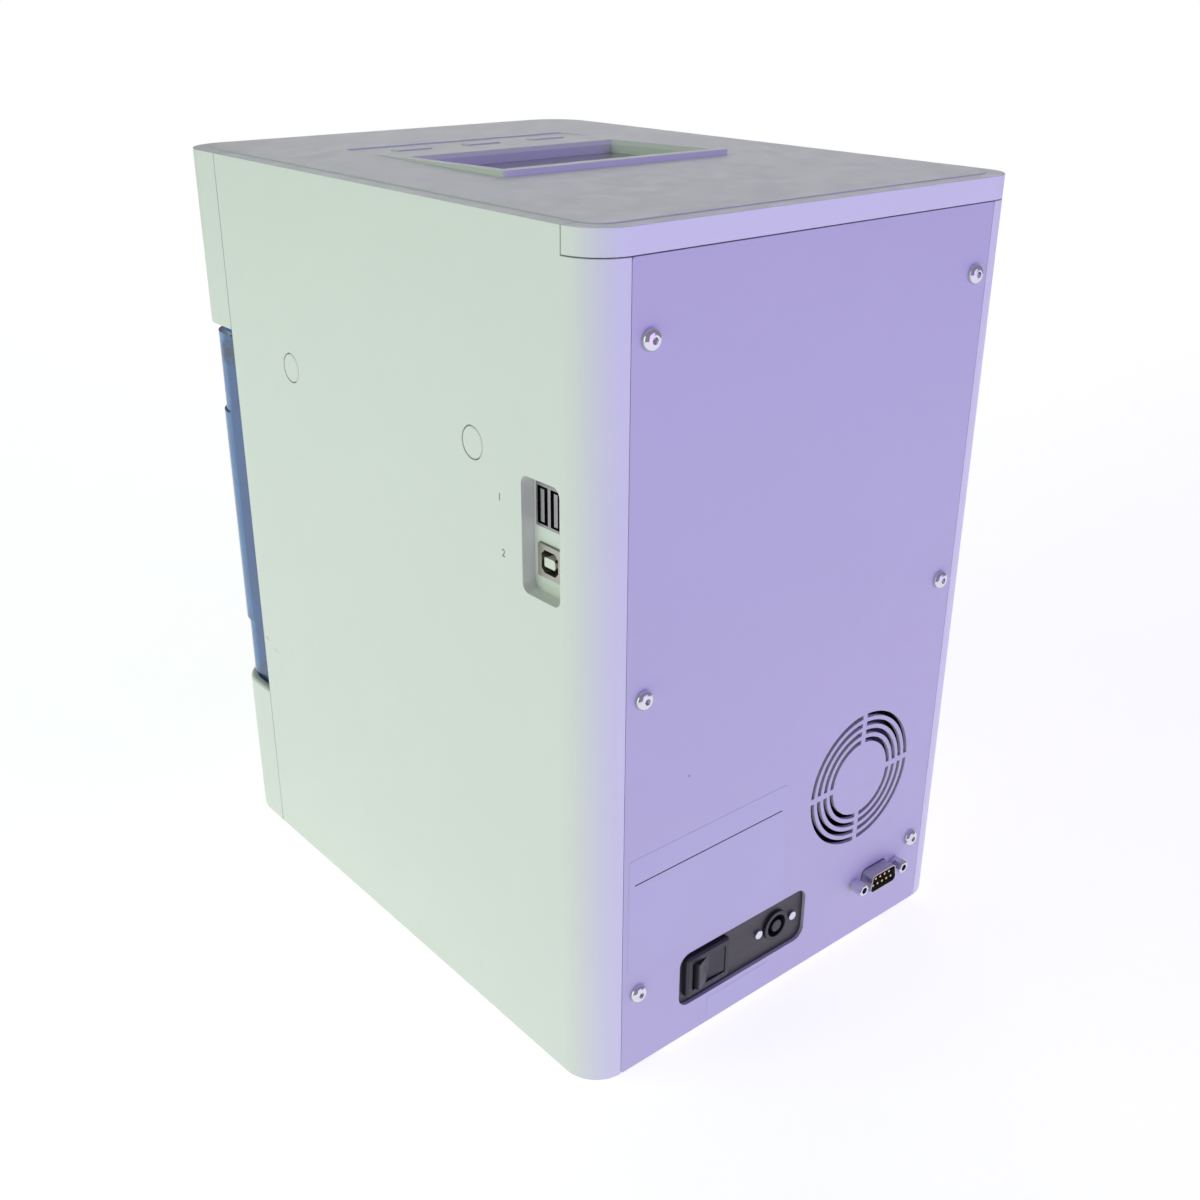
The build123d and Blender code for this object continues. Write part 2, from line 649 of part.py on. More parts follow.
# Front fascia: one moulding of an upper shell, a lower shell and a frame between them
upper_bottom = z_bottom + upper_shell_bottom
lower_top = z_bottom + lower_shell_height
bulkhead_half = inner_half - seam_gap / 2
bulkhead_top = z_ledge - top_plate - seam_gap
inner_front_radius = front_corner_radius - fascia_wall
hinge_y = y_seam - hinge_from_seam
hinge_z = z_bottom + hinge_height
door_half = half_width - fascia_wall - door_gap
door_inner_half = door_half - door_wall
ear_outer = door_inner_half - hinge_boss_length - hinge_side_gap
tongue_depth = 8.0
swing_radius = 18.5
with BuildPart() as front_fascia:
    with BuildSketch(Plane.XY.offset(z_bottom)):
        add(plan_outline(y_front, y_seam, 0, front_corner_radius, 0))
    extrude(amount=lower_shell_height)
    with BuildSketch(Plane.XY.offset(upper_bottom)):
        add(plan_outline(y_front, y_seam, 0, front_corner_radius, 0))
    extrude(amount=z_top - upper_bottom)
    fillet(front_fascia.edges().filter_by(GeomType.CIRCLE).group_by(Axis.Z)[1]
           + front_fascia.edges().filter_by(Axis.X).group_by(Axis.Y)[0].group_by(Axis.Z)[1], 1.5)
    with BuildSketch(Plane.XY.offset(z_bottom + fascia_wall)):
        add(plan_outline(y_front + fascia_wall, y_seam, fascia_wall, inner_front_radius, 0))
    extrude(amount=lower_shell_height, mode=Mode.SUBTRACT)
    with BuildSketch(Plane.XY.offset(upper_bottom)):
        add(plan_outline(y_front + fascia_wall, y_seam, fascia_wall, inner_front_radius, 0))
    extrude(amount=z_ledge - top_plate - upper_bottom, mode=Mode.SUBTRACT)
    with BuildSketch(Plane.XY.offset(z_ledge)):
        add(plan_outline(y_front + border_width, y_seam + border_width, border_width,
                         front_corner_radius - border_width, 0))
    extrude(amount=top_plate, mode=Mode.SUBTRACT)
    block(-bulkhead_half, bulkhead_half, y_seam, y_seam + bulkhead_thickness,
          z_floor + seam_gap, bulkhead_top)
    for side in (-1, 1):
        block(side * (bulkhead_half - fascia_wall), side * (bulkhead_half + fascia_wall / 4),
              y_seam - tongue_depth, y_seam, z_bottom + fascia_wall / 2, lower_top - 3 * fascia_wall)
        block(side * (bulkhead_half - fascia_wall), side * (bulkhead_half + fascia_wall / 4),
              y_seam - tongue_depth, y_seam, hinge_z + swing_radius, bulkhead_top + top_plate / 2)
        block(side * (bulkhead_half - fascia_wall), side * bulkhead_half,
              y_seam - tongue_depth, y_seam + bulkhead_thickness,
              z_floor + seam_gap, lower_top - 3 * fascia_wall)
    with BuildSketch(Plane.XY.offset(lower_top - 4 * fascia_wall)):
        add(plan_outline(y_front + fascia_wall / 2, y_seam, fascia_wall / 2,
                         front_corner_radius - fascia_wall / 2, 0))
    extrude(amount=fascia_wall)
    block(-chamber_width / 2, chamber_width / 2, y_seam - 1, y_seam + bulkhead_thickness + 1,
          z_bottom + chamber_bottom, z_bottom + chamber_top, mode=Mode.SUBTRACT)
    for side in (-1, 1):
        with BuildSketch(Plane.YZ.offset(side * ear_outer)):
            with Locations((hinge_y, hinge_z)):
                Circle(hinge_boss_radius)
            with Locations(((hinge_y + y_seam) / 2 + bulkhead_thickness / 4, hinge_z)):
                Rectangle(hinge_from_seam + bulkhead_thickness / 2, 2 * hinge_boss_radius)
        extrude(amount=-side * hinge_ear_thickness)
        with BuildSketch(Plane.YZ.offset(side * ear_outer)):
            with Locations((hinge_y, hinge_z)):
                Circle(hinge_pin_radius + hinge_clearance)
        extrude(amount=-side * hinge_ear_thickness, mode=Mode.SUBTRACT)
        with BuildSketch(Plane.XZ.offset(-y_seam)):
            with Locations((side * catch_spacing / 2, z_bottom + door_bottom + 2 * catch_radius)):
                Circle(catch_radius)
        extrude(amount=-catch_thickness, mode=Mode.SUBTRACT)
    with BuildSketch(Plane.XZ.offset(-y_front)):
        with Locations((0, lower_top + finger_scoop_depth)):
            RectangleRounded(finger_scoop_width, 4 * finger_scoop_depth, finger_scoop_depth)
    extrude(amount=-fascia_wall, mode=Mode.SUBTRACT)
save(front_fascia, "front_fascia")

# Catch magnets set in the frame behind the lower corners of the door
with BuildPart() as catch_magnets:
    with BuildSketch(Plane.XZ.offset(-y_seam)):
        with Locations([(side * catch_spacing / 2, z_bottom + door_bottom + 2 * catch_radius)
                        for side in (-1, 1)]):
            Circle(catch_radius)
    extrude(amount=-catch_thickness)
save(catch_magnets, "catch_magnets")

# Door: one clear blue moulding that wraps both front corners, with a raised band
door_front = y_front + door_setback
door_back = y_seam - door_back_gap
door_low = z_bottom + door_bottom
door_high = z_bottom + door_top
band_bend = door_front + door_corner_radius
with BuildPart() as door_band:
    with BuildSketch(Plane.XY.offset(z_bottom + band_bottom_front)):
        add(plan_outline(door_front - door_band_proud, door_back, fascia_wall + door_gap - door_band_proud,
                         door_corner_radius + door_band_proud, 0))
        add(plan_outline(door_front, door_back, fascia_wall + door_gap, door_corner_radius, 0),
            mode=Mode.SUBTRACT)
    extrude(amount=band_top_back - band_bottom_front)
    with BuildSketch(Plane.YZ.offset(-half_width)):
        with BuildLine():
            Polyline((y_front - 5, z_bottom + band_bottom_front), (band_bend, z_bottom + band_bottom_front),
                     (y_seam, z_bottom + band_bottom_back), (y_seam, z_bottom + band_top_back),
                     (band_bend, z_bottom + band_top_front), (y_front - 5, z_bottom + band_top_front),
                     close=True)
        make_face()
    extrude(amount=body_width, mode=Mode.INTERSECT)
with BuildPart() as door:
    with BuildSketch(Plane.XY.offset(door_low)):
        add(plan_outline(door_front, door_back, fascia_wall + door_gap, door_corner_radius, 0))
        add(plan_outline(door_front + door_wall, door_back, fascia_wall + door_gap + door_wall,
                         door_corner_radius - door_wall, 0), mode=Mode.SUBTRACT)
    extrude(amount=door_high - door_low)
    add(door_band.part)
    for side in (-1, 1):
        with BuildSketch(Plane.YZ.offset(side * (door_inner_half + door_wall / 2))):
            with Locations((hinge_y, hinge_z)):
                Circle(hinge_boss_radius)
        extrude(amount=-side * (hinge_boss_length + door_wall / 2))
        with BuildSketch(Plane.YZ.offset(side * door_inner_half)):
            with Locations((hinge_y, hinge_z)):
                Circle(hinge_pin_radius)
        extrude(amount=-side * hinge_boss_length, mode=Mode.SUBTRACT)
save(door, "door")

with BuildPart() as door_hinge_pins:
    for side in (-1, 1):
        with BuildSketch(Plane.YZ.offset(side * door_inner_half)):
            with Locations((hinge_y, hinge_z)):
                Circle(hinge_pin_radius)
        extrude(amount=-side * (hinge_boss_length + hinge_side_gap + hinge_ear_thickness))
save(door_hinge_pins, "door_hinge_pins")

# Side frames: folded sheets either side of the sample chamber, on the base chassis
frame_front = y_seam + bulkhead_thickness
foot_flange = 12.0
standoff_radius = 4.5
cup_floor_x = half_width - cup_depth
for side, name in ((-1, "side_frame_left"), (1, "side_frame_right")):
    with BuildPart() as side_frame:
        block(side * (frame_x - sheet), side * frame_x, frame_front, y_rear - plug_from_rear[0] + cup_radius,
              z_floor, frame_height)
        block(side * (frame_x - sheet), side * (frame_x + foot_flange), frame_front,
              y_rear - plug_from_rear[0] + cup_radius, z_floor, z_floor + sheet)
        with BuildSketch(Plane.YZ.offset(side * (frame_x - sheet))):
            with Locations(plug_centres):
                Circle(standoff_radius)
        extrude(amount=side * (cup_floor_x - frame_x + sheet))
        with BuildSketch(Plane.YZ.offset(side * (frame_x - sheet))):
            with Locations(plug_centres):
                Circle(screw_radius + thread_clearance)
        extrude(amount=side * (cup_floor_x - frame_x + sheet), mode=Mode.SUBTRACT)
    save(side_frame, name)

# Chamber deck, with the saddle for the front of the drive screw, and the rear wall
deck_half = frame_x - sheet
deck_top = z_bottom + chamber_bottom
back_wall_y = y_rear - back_wall_from_rear
tray_drive_z = deck_top + rail_height
tray_long = plate_length + 2 * (plate_gap + tray_border)
tray_front = y_front + door_setback + door_wall + tray_front_gap
tray_middle = tray_front + tray_long / 2
screw_y_front = tray_middle - 2 * saddle_length
with BuildPart() as chamber_deck:
    block(-deck_half, deck_half, y_seam + bulkhead_thickness, back_wall_y + sheet,
          deck_top - deck_thickness, deck_top)
    for side in (-1, 1):
        block(side * (deck_half - sheet), side * deck_half, y_seam + bulkhead_thickness,
              back_wall_y + sheet, deck_top - 4 * deck_thickness, deck_top)
    block(-runner_width / 2, runner_width / 2, screw_y_front, screw_y_front + saddle_length,
          deck_top, tray_drive_z)
    with BuildSketch(Plane.XZ.offset(-screw_y_front)):
        with Locations((0, tray_drive_z)):
            Circle(drive_screw_radius + running_clearance)
    extrude(amount=-saddle_length, mode=Mode.SUBTRACT)
save(chamber_deck, "chamber_deck")

with BuildPart() as chamber_back_wall:
    block(-deck_half, deck_half, back_wall_y, back_wall_y + sheet, deck_top, frame_height)
    with BuildSketch(Plane.XZ.offset(-back_wall_y)):
        with Locations((0, tray_drive_z)):
            Circle(drive_screw_radius + 1)
    extrude(amount=-sheet, mode=Mode.SUBTRACT)
save(chamber_back_wall, "chamber_back_wall")

# Plate tray: it runs on two rails and carries the heater block and the sample plate
tray_wide = plate_width + 2 * (plate_gap + tray_border)
tray_z = deck_top + tray_height
rail_y_front = y_seam + bulkhead_thickness + 2
rail_y_back = back_wall_y
runner_ys = [tray_middle + offset for offset in runner_offsets]
block_top = tray_z + heater_thickness
with BuildPart() as plate_tray:
    block(-tray_wide / 2, tray_wide / 2, tray_front, tray_front + tray_long,
          tray_z - tray_thickness, tray_z)
    fillet(plate_tray.edges().filter_by(Axis.Z), 3.0)
    for side in (-1, 1):
        for y in runner_ys:
            block(side * rail_spacing / 2 - runner_width / 2, side * rail_spacing / 2 + runner_width / 2,
                  y - runner_length / 2, y + runner_length / 2,
                  tray_drive_z - rail_radius - 1, tray_z - tray_thickness)
    block(-runner_width / 2, runner_width / 2, tray_middle, tray_middle + runner_length,
          tray_drive_z - drive_screw_radius - 1, tray_z - tray_thickness)
    with BuildSketch(Plane.XZ.offset(-tray_front)):
        with Locations([(side * rail_spacing / 2, tray_drive_z) for side in (-1, 1)]):
            Circle(rail_radius + running_clearance)
        with Locations((0, tray_drive_z)):
            Circle(drive_screw_radius + running_clearance)
    extrude(amount=-tray_long - runner_length, mode=Mode.SUBTRACT)
save(plate_tray, "plate_tray")

with BuildPart() as heater_block:
    block(-plate_width / 2 + 2, plate_width / 2 - 2, tray_middle - plate_length / 2 + 2,
          tray_middle + plate_length / 2 - 2, tray_z, block_top)
    for sx in (-1, 1):
        for sy in (-1, 1):
            corner_x = sx * (plate_width / 2 + plate_gap)
            corner_y = tray_middle + sy * (plate_length / 2 + plate_gap)
            block(corner_x, corner_x + sx * 2, corner_y - sy * 12, corner_y + sy * 2,
                  tray_z, block_top + lug_height)
            block(corner_x - sx * 12, corner_x + sx * 2, corner_y, corner_y + sy * 2,
                  tray_z, block_top + lug_height)
            block(sx * (plate_width / 2 - 3), corner_x + sx * 2, corner_y - sy * 12, corner_y + sy * 2,
                  tray_z, tray_z + 3)
save(heater_block, "heater_block")

with BuildPart() as tray_rails:
    for side in (-1, 1):
        with BuildSketch(Plane.XZ.offset(-rail_y_front)):
            with Locations((side * rail_spacing / 2, tray_drive_z)):
                Circle(rail_radius)
        extrude(amount=-(rail_y_back - rail_y_front))
        for y in (rail_y_front, rail_y_back - saddle_length):
            block(side * rail_spacing / 2 - rail_radius - 1, side * rail_spacing / 2 + rail_radius + 1,
                  y, y + saddle_length, deck_top, tray_drive_z)
save(tray_rails, "tray_rails")

with BuildPart() as tray_screw:
    with BuildSketch(Plane.XZ.offset(-screw_y_front)):
        with Locations((0, tray_drive_z)):
            Circle(drive_screw_radius)
    extrude(amount=-(back_wall_y + sheet - motor_gap - screw_y_front))
save(tray_screw, "tray_screw")


def motor(size, length, corner):
    """A square stepper motor hanging below its mounting face, with a round rear cap."""
    with BuildPart() as body:
        with BuildSketch():
            RectangleRounded(size, size, corner)
        extrude(amount=-length)
        chamfer(body.faces().sort_by(Axis.Z)[0].edges(), 1.0)
        with BuildSketch():
            Circle(size * 0.39)
        extrude(amount=-length - 1.5)
    return body.part


drive_motor = motor(drive_motor_size, drive_motor_length, 3.0)
with BuildPart() as tray_motor:
    with Locations(Location((0, back_wall_y + sheet, tray_drive_z), (90, 0, 0))):
        add(drive_motor)
save(tray_motor, "tray_motor")

# Lift frame: a portal over the tray that carries the guide shafts, screw and motor
head_y = tray_middle + tray_travel / 2
head_front = head_y - row_spacing / 2 - head_border
head_back = head_y + row_spacing / 2 + head_border
lift_y = head_back + lift_plate_behind_head
shaft_y = lift_y - shaft_from_lift_plate
comb_low = z_bottom + comb_plate_height
low_shelf = comb_low + bushing_rise - sleeve_travel - travel_margin - shelf_thickness
high_shelf = z_bottom + lift_shelf_high
with BuildPart() as lift_frame:
    block(-deck_half, deck_half, lift_y, lift_y + shelf_thickness, deck_top, high_shelf + shelf_thickness)
    block(-portal_width / 2, portal_width / 2, lift_y - 1, lift_y + shelf_thickness + 1, deck_top - 1,
          low_shelf, mode=Mode.SUBTRACT)
    for z in (low_shelf, high_shelf):
        block(-deck_half + 20, deck_half - 20, lift_y - shelf_depth, lift_y, z, z + shelf_thickness)
        with BuildSketch(Plane.XY.offset(z)):
            with Locations([(side * shaft_spacing / 2, shaft_y) for side in (-1, 1)]):
                Circle(shaft_radius)
            with Locations((0, shaft_y)):
                Circle(drive_screw_radius + running_clearance)
        extrude(amount=shelf_thickness, mode=Mode.SUBTRACT)
save(lift_frame, "lift_frame")

with BuildPart() as guide_shafts:
    with BuildSketch(Plane.XY.offset(low_shelf)):
        with Locations([(side * shaft_spacing / 2, shaft_y) for side in (-1, 1)]):
            Circle(shaft_radius)
    extrude(amount=high_shelf + shelf_thickness - low_shelf)
save(guide_shafts, "guide_shafts")

with BuildPart() as lift_screw:
    with BuildSketch(Plane.XY.offset(low_shelf)):
        with Locations((0, shaft_y)):
            Circle(drive_screw_radius)
    extrude(amount=high_shelf + shelf_thickness - low_shelf - motor_gap)
save(lift_screw, "lift_screw")

flat_motor = motor(flat_motor_size, flat_motor_length, 3.0)
with BuildPart() as lift_motor:
    with Locations(Location((0, shaft_y, high_shelf + shelf_thickness), (180, 0, 0))):
        add(flat_motor)
save(lift_motor, "lift_motor")

# Sleeve carriage: the comb plate with its holes, a back plate and blocks on the shafts
comb_high = comb_low + comb_plate_thickness
rod_low = comb_high + rod_tip_gap
rod_length = magnet_travel + magnet_plate_thickness + rod_margin
rod_high = rod_low + rod_length
magnet_low = rod_high - magnet_plate_thickness
head_half = rods_per_row * rod_pitch / 2 + head_border
rod_places = [((i - (rods_per_row - 1) / 2) * rod_pitch, head_y + row * row_spacing / 2)
              for row in (-1, 1) for i in range(rods_per_row)]
back_y = shaft_y - bushing_radius - carriage_back_thickness
bracket_low = rod_high + magnet_top_gap
bracket_high = bracket_low + shelf_thickness
magnet_drive_y = head_y
magnet_guide_x = head_half - 4
with BuildPart() as sleeve_carriage:
    block(-head_half, head_half, head_front, back_y, comb_low, comb_high)
    block(-shaft_spacing / 2 - bushing_radius, shaft_spacing / 2 + bushing_radius, back_y,
          back_y + carriage_back_thickness, comb_low, bracket_high)
    for x in (-shaft_spacing / 2, 0, shaft_spacing / 2):
        block(x - bushing_radius, x + bushing_radius, back_y, shaft_y + bushing_radius,
              comb_low + bushing_rise, comb_low + bushing_rise + bushing_length)
    block(-head_half, head_half, magnet_drive_y - head_border, back_y, bracket_low, bracket_high)
    with BuildSketch(Plane.XY.offset(comb_low)):
        with Locations(rod_places):
            Circle(comb_hole_radius)
    extrude(amount=comb_plate_thickness, mode=Mode.SUBTRACT)
    with BuildSketch(Plane.XY.offset(comb_low + bushing_rise)):
        with Locations([(side * shaft_spacing / 2, shaft_y) for side in (-1, 1)]):
            Circle(shaft_radius + running_clearance)
        with Locations((0, shaft_y)):
            Circle(drive_screw_radius + running_clearance)
    extrude(amount=bushing_length, mode=Mode.SUBTRACT)
    with BuildSketch(Plane.XY.offset(bracket_low)):
        with Locations((0, magnet_drive_y)):
            Circle(drive_screw_radius / 2 + running_clearance)
    extrude(amount=shelf_thickness, mode=Mode.SUBTRACT)
save(sleeve_carriage, "sleeve_carriage")

with BuildPart() as magnet_guides:
    with BuildSketch(Plane.XY.offset(comb_high)):
        with Locations([(side * magnet_guide_x, magnet_drive_y) for side in (-1, 1)]):
            Circle(rail_radius)
    extrude(amount=bracket_low - comb_high)
save(magnet_guides, "magnet_guides")

# Magnet carriage with its sixteen rods, screw and small motor
with BuildPart() as magnet_carriage:
    block(-head_half, head_half, head_front + 2, head_back - 2, magnet_low, rod_high)
    with BuildSketch(Plane.XY.offset(magnet_low)):
        with Locations([(side * magnet_guide_x, magnet_drive_y) for side in (-1, 1)]):
            Circle(rail_radius + running_clearance)
        with Locations((0, magnet_drive_y)):
            Circle(drive_screw_radius / 2 + running_clearance)
        with Locations(rod_places):
            Circle(rod_radius)
    extrude(amount=magnet_plate_thickness, mode=Mode.SUBTRACT)
save(magnet_carriage, "magnet_carriage")

with BuildPart() as magnet_rods:
    with BuildSketch(Plane.XY.offset(rod_low)):
        with Locations(rod_places):
            Circle(rod_radius)
    extrude(amount=rod_length)
save(magnet_rods, "magnet_rods")

with BuildPart() as magnet_screw:
    with BuildSketch(Plane.XY.offset(comb_high + seam_gap / 2)):
        with Locations((0, magnet_drive_y)):
            Circle(drive_screw_radius / 2)
    extrude(amount=bracket_high - comb_high - seam_gap / 2 - motor_gap)
save(magnet_screw, "magnet_screw")

small_motor = motor(small_motor_size, small_motor_length, 2.0)
with BuildPart() as magnet_motor:
    with Locations(Location((0, magnet_drive_y, bracket_high), (180, 0, 0))):
        add(small_motor)
save(magnet_motor, "magnet_motor")

# Fan: frame behind the grille and a rotor of pitched blades on its hub
fan_z = z_bottom + fan_height
fan_plane = Plane(origin=(fan_x, panel_inner - fan_depth, fan_z), x_dir=(1, 0, 0), z_dir=(0, 1, 0))
fan_hub_gap = 0.4
motor_web = 2.0
with BuildPart() as fan_frame:
    with BuildSketch(fan_plane):
        RectangleRounded(fan_size, fan_size, 4.0)
        Circle(fan_bore_radius, mode=Mode.SUBTRACT)
        with GridLocations(fan_size - 10, fan_size - 10, 2, 2):
            Circle(2.1, mode=Mode.SUBTRACT)
    extrude(amount=fan_depth)
    with BuildSketch(fan_plane):
        Circle(fan_hub_radius)
        with PolarLocations(fan_bore_radius * 0.6, 4, start_angle=45):
            Rectangle(fan_bore_radius * 0.95, 4)
    extrude(amount=motor_web)
    with BuildSketch(fan_plane.offset(motor_web)):
        Circle(2.5)
    extrude(amount=fan_depth / 3)
save(fan_frame, "fan_frame")

blade_root_pitch = 42.0
blade_tip_pitch = 28.0
blade_high = fan_depth - motor_web - 3.0
with BuildPart() as fan_rotor:
    with BuildSketch(fan_plane.offset(motor_web + fan_hub_gap)):
        Circle(fan_hub_radius)
    extrude(amount=blade_high)
    with BuildSketch(fan_plane.offset(motor_web)):
        Circle(2.5 + running_clearance)
    extrude(amount=fan_depth / 3 + fan_hub_gap, mode=Mode.SUBTRACT)
    blade_radius = fan_bore_radius - 1.5
    blade_centre = Vector(fan_x, panel_inner - fan_depth + motor_web + fan_hub_gap + blade_high / 2, fan_z)
    for blade in range(fan_blades):
        turn = radians(360.0 / fan_blades * blade)
        outward = Vector(cos(turn), 0, sin(turn))
        around = Vector(-sin(turn), 0, cos(turn))
        for reach, pitch, chord in ((fan_hub_radius - 1, blade_root_pitch, 9.5),
                                    (blade_radius, blade_tip_pitch, 13.0)):
            tilted = around * cos(radians(pitch)) + Vector(0, 1, 0) * sin(radians(pitch))
            with BuildSketch(Plane(origin=blade_centre + outward * reach, x_dir=tilted, z_dir=outward)):
                Rectangle(chord, 1.2)
        loft()
save(fan_rotor, "fan_rotor")

# Power plate behind the cut-out, with the rocker switch and the round power socket
inlet_x = (inlet_left + inlet_right) / 2
inlet_z = z_bottom + (inlet_bottom + inlet_top) / 2
plate_back = panel_inner - inlet_plate_thickness
switch_z = z_bottom + switch_height
socket_z = z_bottom + socket_height
socket_screw_places = [(socket_x + s * socket_screw_spacing / 2, socket_z) for s in (-1, 1)]
with BuildPart() as power_plate:
    with BuildSketch(Plane.XZ.offset(-panel_inner)):
        with Locations((inlet_x, inlet_z)):
            RectangleRounded(inlet_left - inlet_right + 2 * inlet_plate_border,
                             inlet_top - inlet_bottom + 2 * inlet_plate_border, 3.0)
        with Locations((switch_x, switch_z)):
            Rectangle(switch_body_width, switch_body_tall, mode=Mode.SUBTRACT)
        with Locations((socket_x, socket_z)):
            Circle(socket_radius, mode=Mode.SUBTRACT)
        with Locations(socket_screw_places):
            Circle(screw_radius * 0.7, mode=Mode.SUBTRACT)
    extrude(amount=inlet_plate_thickness)
save(power_plate, "power_plate")

switch_face = panel_inner + switch_flange
pocket_wide = rocker_width + 2 * rocker_gap
pocket_tall = rocker_tall + 2 * rocker_gap
rocker_axis_y = switch_face - rocker_axis_depth
pocket_depth = 9.0
with BuildPart() as switch_housing:
    with BuildSketch(Plane.XZ.offset(-panel_inner)):
        with Locations((switch_x, switch_z)):
            RectangleRounded(switch_width, switch_tall, 1.5)
    extrude(amount=-switch_flange)
    chamfer(switch_housing.faces().sort_by(Axis.Y)[-1].edges(), 0.8)
    with BuildSketch(Plane.XZ.offset(-panel_inner)):
        with Locations((switch_x, switch_z)):
            Rectangle(switch_body_width, switch_body_tall)
    extrude(amount=switch_body_depth)
    with BuildSketch(Plane.XZ.offset(-switch_face)):
        with Locations((switch_x, switch_z)):
            Rectangle(pocket_wide, pocket_tall)
    extrude(amount=pocket_depth, mode=Mode.SUBTRACT)
    with BuildSketch(Plane.XY.offset(switch_z - pocket_tall / 2 - 0.8)):
        with Locations((switch_x, rocker_axis_y - 2.6)):
            Circle(1.2 + running_clearance)
    extrude(amount=pocket_tall + 1.6, mode=Mode.SUBTRACT)
save(switch_housing, "switch_housing")

rocker_pivot_y = rocker_axis_y - 2.6
with BuildPart() as rocker:
    rocker_plane = Plane(origin=(switch_x, rocker_pivot_y, switch_z - rocker_tall / 2)).rotated(
        (0, 0, rocker_tilt))
    with BuildSketch(rocker_plane):
        with BuildLine():
            half_rocker = rocker_width / 2 - 0.5
            Polyline((-half_rocker, 1.0), (-half_rocker, rocker_rise + 1.6), (0, rocker_rise),
                     (half_rocker, rocker_rise + 1.6), (half_rocker, 1.0), (3.0, -3.2), (-3.0, -3.2),
                     close=True)
        make_face()
    extrude(amount=rocker_tall)
    fillet(rocker.edges().filter_by(Axis.Z).group_by(Axis.Y)[-1], 0.4)
    with BuildSketch(Plane.XY.offset(switch_z - rocker_tall / 2 - rocker_gap - 0.6)):
        with Locations((switch_x, rocker_pivot_y)):
            Circle(1.2)
    extrude(amount=rocker_tall + 2 * rocker_gap + 1.2)
save(rocker, "rocker")

with BuildPart() as power_socket:
    with BuildSketch(Plane.XZ.offset(-y_rear + 0.3)):
        with Locations((socket_x, socket_z)):
            Circle(socket_radius)
    extrude(amount=socket_depth)
    with BuildSketch(Plane.XZ.offset(-plate_back)):
        with Locations((socket_x, socket_z)):
            SlotOverall(socket_screw_spacing + 6, 8)
            Circle(socket_radius + 1.2)
    extrude(amount=2.0)
    with BuildSketch(Plane.XZ.offset(-y_rear + 0.3)):
        with Locations((socket_x, socket_z)):
            Circle(socket_cavity_radius)
            Circle(socket_cavity_radius * 0.52, mode=Mode.SUBTRACT)
    extrude(amount=socket_cavity_depth, mode=Mode.SUBTRACT)
    with BuildSketch(Plane.XZ.offset(-plate_back)):
        with Locations(socket_screw_places):
            Circle(screw_radius * 0.7)
    extrude(amount=2.0, mode=Mode.SUBTRACT)
save(power_socket, "power_socket")

with BuildPart() as socket_screws:
    for x, z in socket_screw_places:
        with BuildSketch(Plane.XZ.offset(-panel_inner)):
            with Locations((x, z)):
                Circle(socket_screw_head_radius)
        extrude(amount=-socket_screw_head_height)
        with BuildSketch(Plane.XZ.offset(-panel_inner)):
            with Locations((x, z)):
                Circle(screw_radius * 0.7)
        extrude(amount=inlet_plate_thickness + 3.5)
    fillet(socket_screws.faces().group_by(Axis.Y)[-1].edges(), 0.4)
save(socket_screws, "socket_screws")

# Serial connector: shell with flange, insert, nine pins and two hexagonal jackscrews
shell_out = jack_length - 0.4
with BuildPart() as serial_shell:
    with BuildSketch(serial_plane.offset(panel_thickness)):
        Rectangle(serial_flange_width, serial_flange_tall)
        with Locations((-jack_spacing / 2, 0), (jack_spacing / 2, 0)):
            Circle(jack_thread_radius + screw_clearance, mode=Mode.SUBTRACT)
    extrude(amount=serial_flange_thickness)
    with BuildSketch(serial_plane.offset(panel_thickness + serial_flange_thickness)):
        add(serial_outline(0))
    extrude(amount=-(shell_out + panel_thickness + serial_flange_thickness))
    with BuildSketch(serial_plane.offset(panel_thickness + serial_flange_thickness)):
        add(serial_outline(-serial_shell_wall))
    extrude(amount=-(shell_out + panel_thickness + serial_flange_thickness), mode=Mode.SUBTRACT)
save(serial_shell, "serial_shell")

pin_rows = ((5, -serial_row_pitch / 2), (4, serial_row_pitch / 2))
pin_places = [((i - (count - 1) / 2) * serial_pin_pitch, z) for count, z in pin_rows for i in range(count)]
insert_face = shell_out - serial_cavity_depth
with BuildPart() as serial_insert:
    with BuildSketch(serial_plane.offset(-insert_face)):
        add(serial_outline(-serial_shell_wall))
        with Locations(pin_places):
            Circle(serial_pin_radius, mode=Mode.SUBTRACT)
    extrude(amount=insert_face + panel_thickness + serial_flange_thickness)
    with BuildSketch(serial_plane.offset(panel_thickness + serial_flange_thickness)):
        Rectangle(serial_width + 2, serial_tall + 2)
        with Locations(pin_places):
            Circle(serial_pin_radius, mode=Mode.SUBTRACT)
    extrude(amount=serial_body_depth)
save(serial_insert, "serial_insert")

with BuildPart() as serial_pins:
    with BuildSketch(serial_plane.offset(-insert_face - serial_cavity_depth + 0.8)):
        with Locations(pin_places):
            Circle(serial_pin_radius)
    extrude(amount=serial_cavity_depth + serial_body_depth + panel_thickness + 2)
save(serial_pins, "serial_pins")

with BuildPart() as jackscrews:
    with BuildSketch(serial_plane):
        with Locations((-jack_spacing / 2, 0), (jack_spacing / 2, 0)):
            RegularPolygon(jack_across_flats / 2, 6, major_radius=False)
    extrude(amount=-jack_length)
    chamfer(jackscrews.faces().group_by(Axis.Y)[-1].edges(), 0.3)
    with BuildSketch(serial_plane):
        with Locations((-jack_spacing / 2, 0), (jack_spacing / 2, 0)):
            Circle(jack_thread_radius)
    extrude(amount=panel_thickness + serial_flange_thickness + 3)
    with BuildSketch(serial_plane.offset(-jack_length)):
        with Locations((-jack_spacing / 2, 0), (jack_spacing / 2, 0)):
            Circle(jack_thread_radius)
    extrude(amount=jack_thread_depth, mode=Mode.SUBTRACT)
save(jackscrews, "jackscrews")

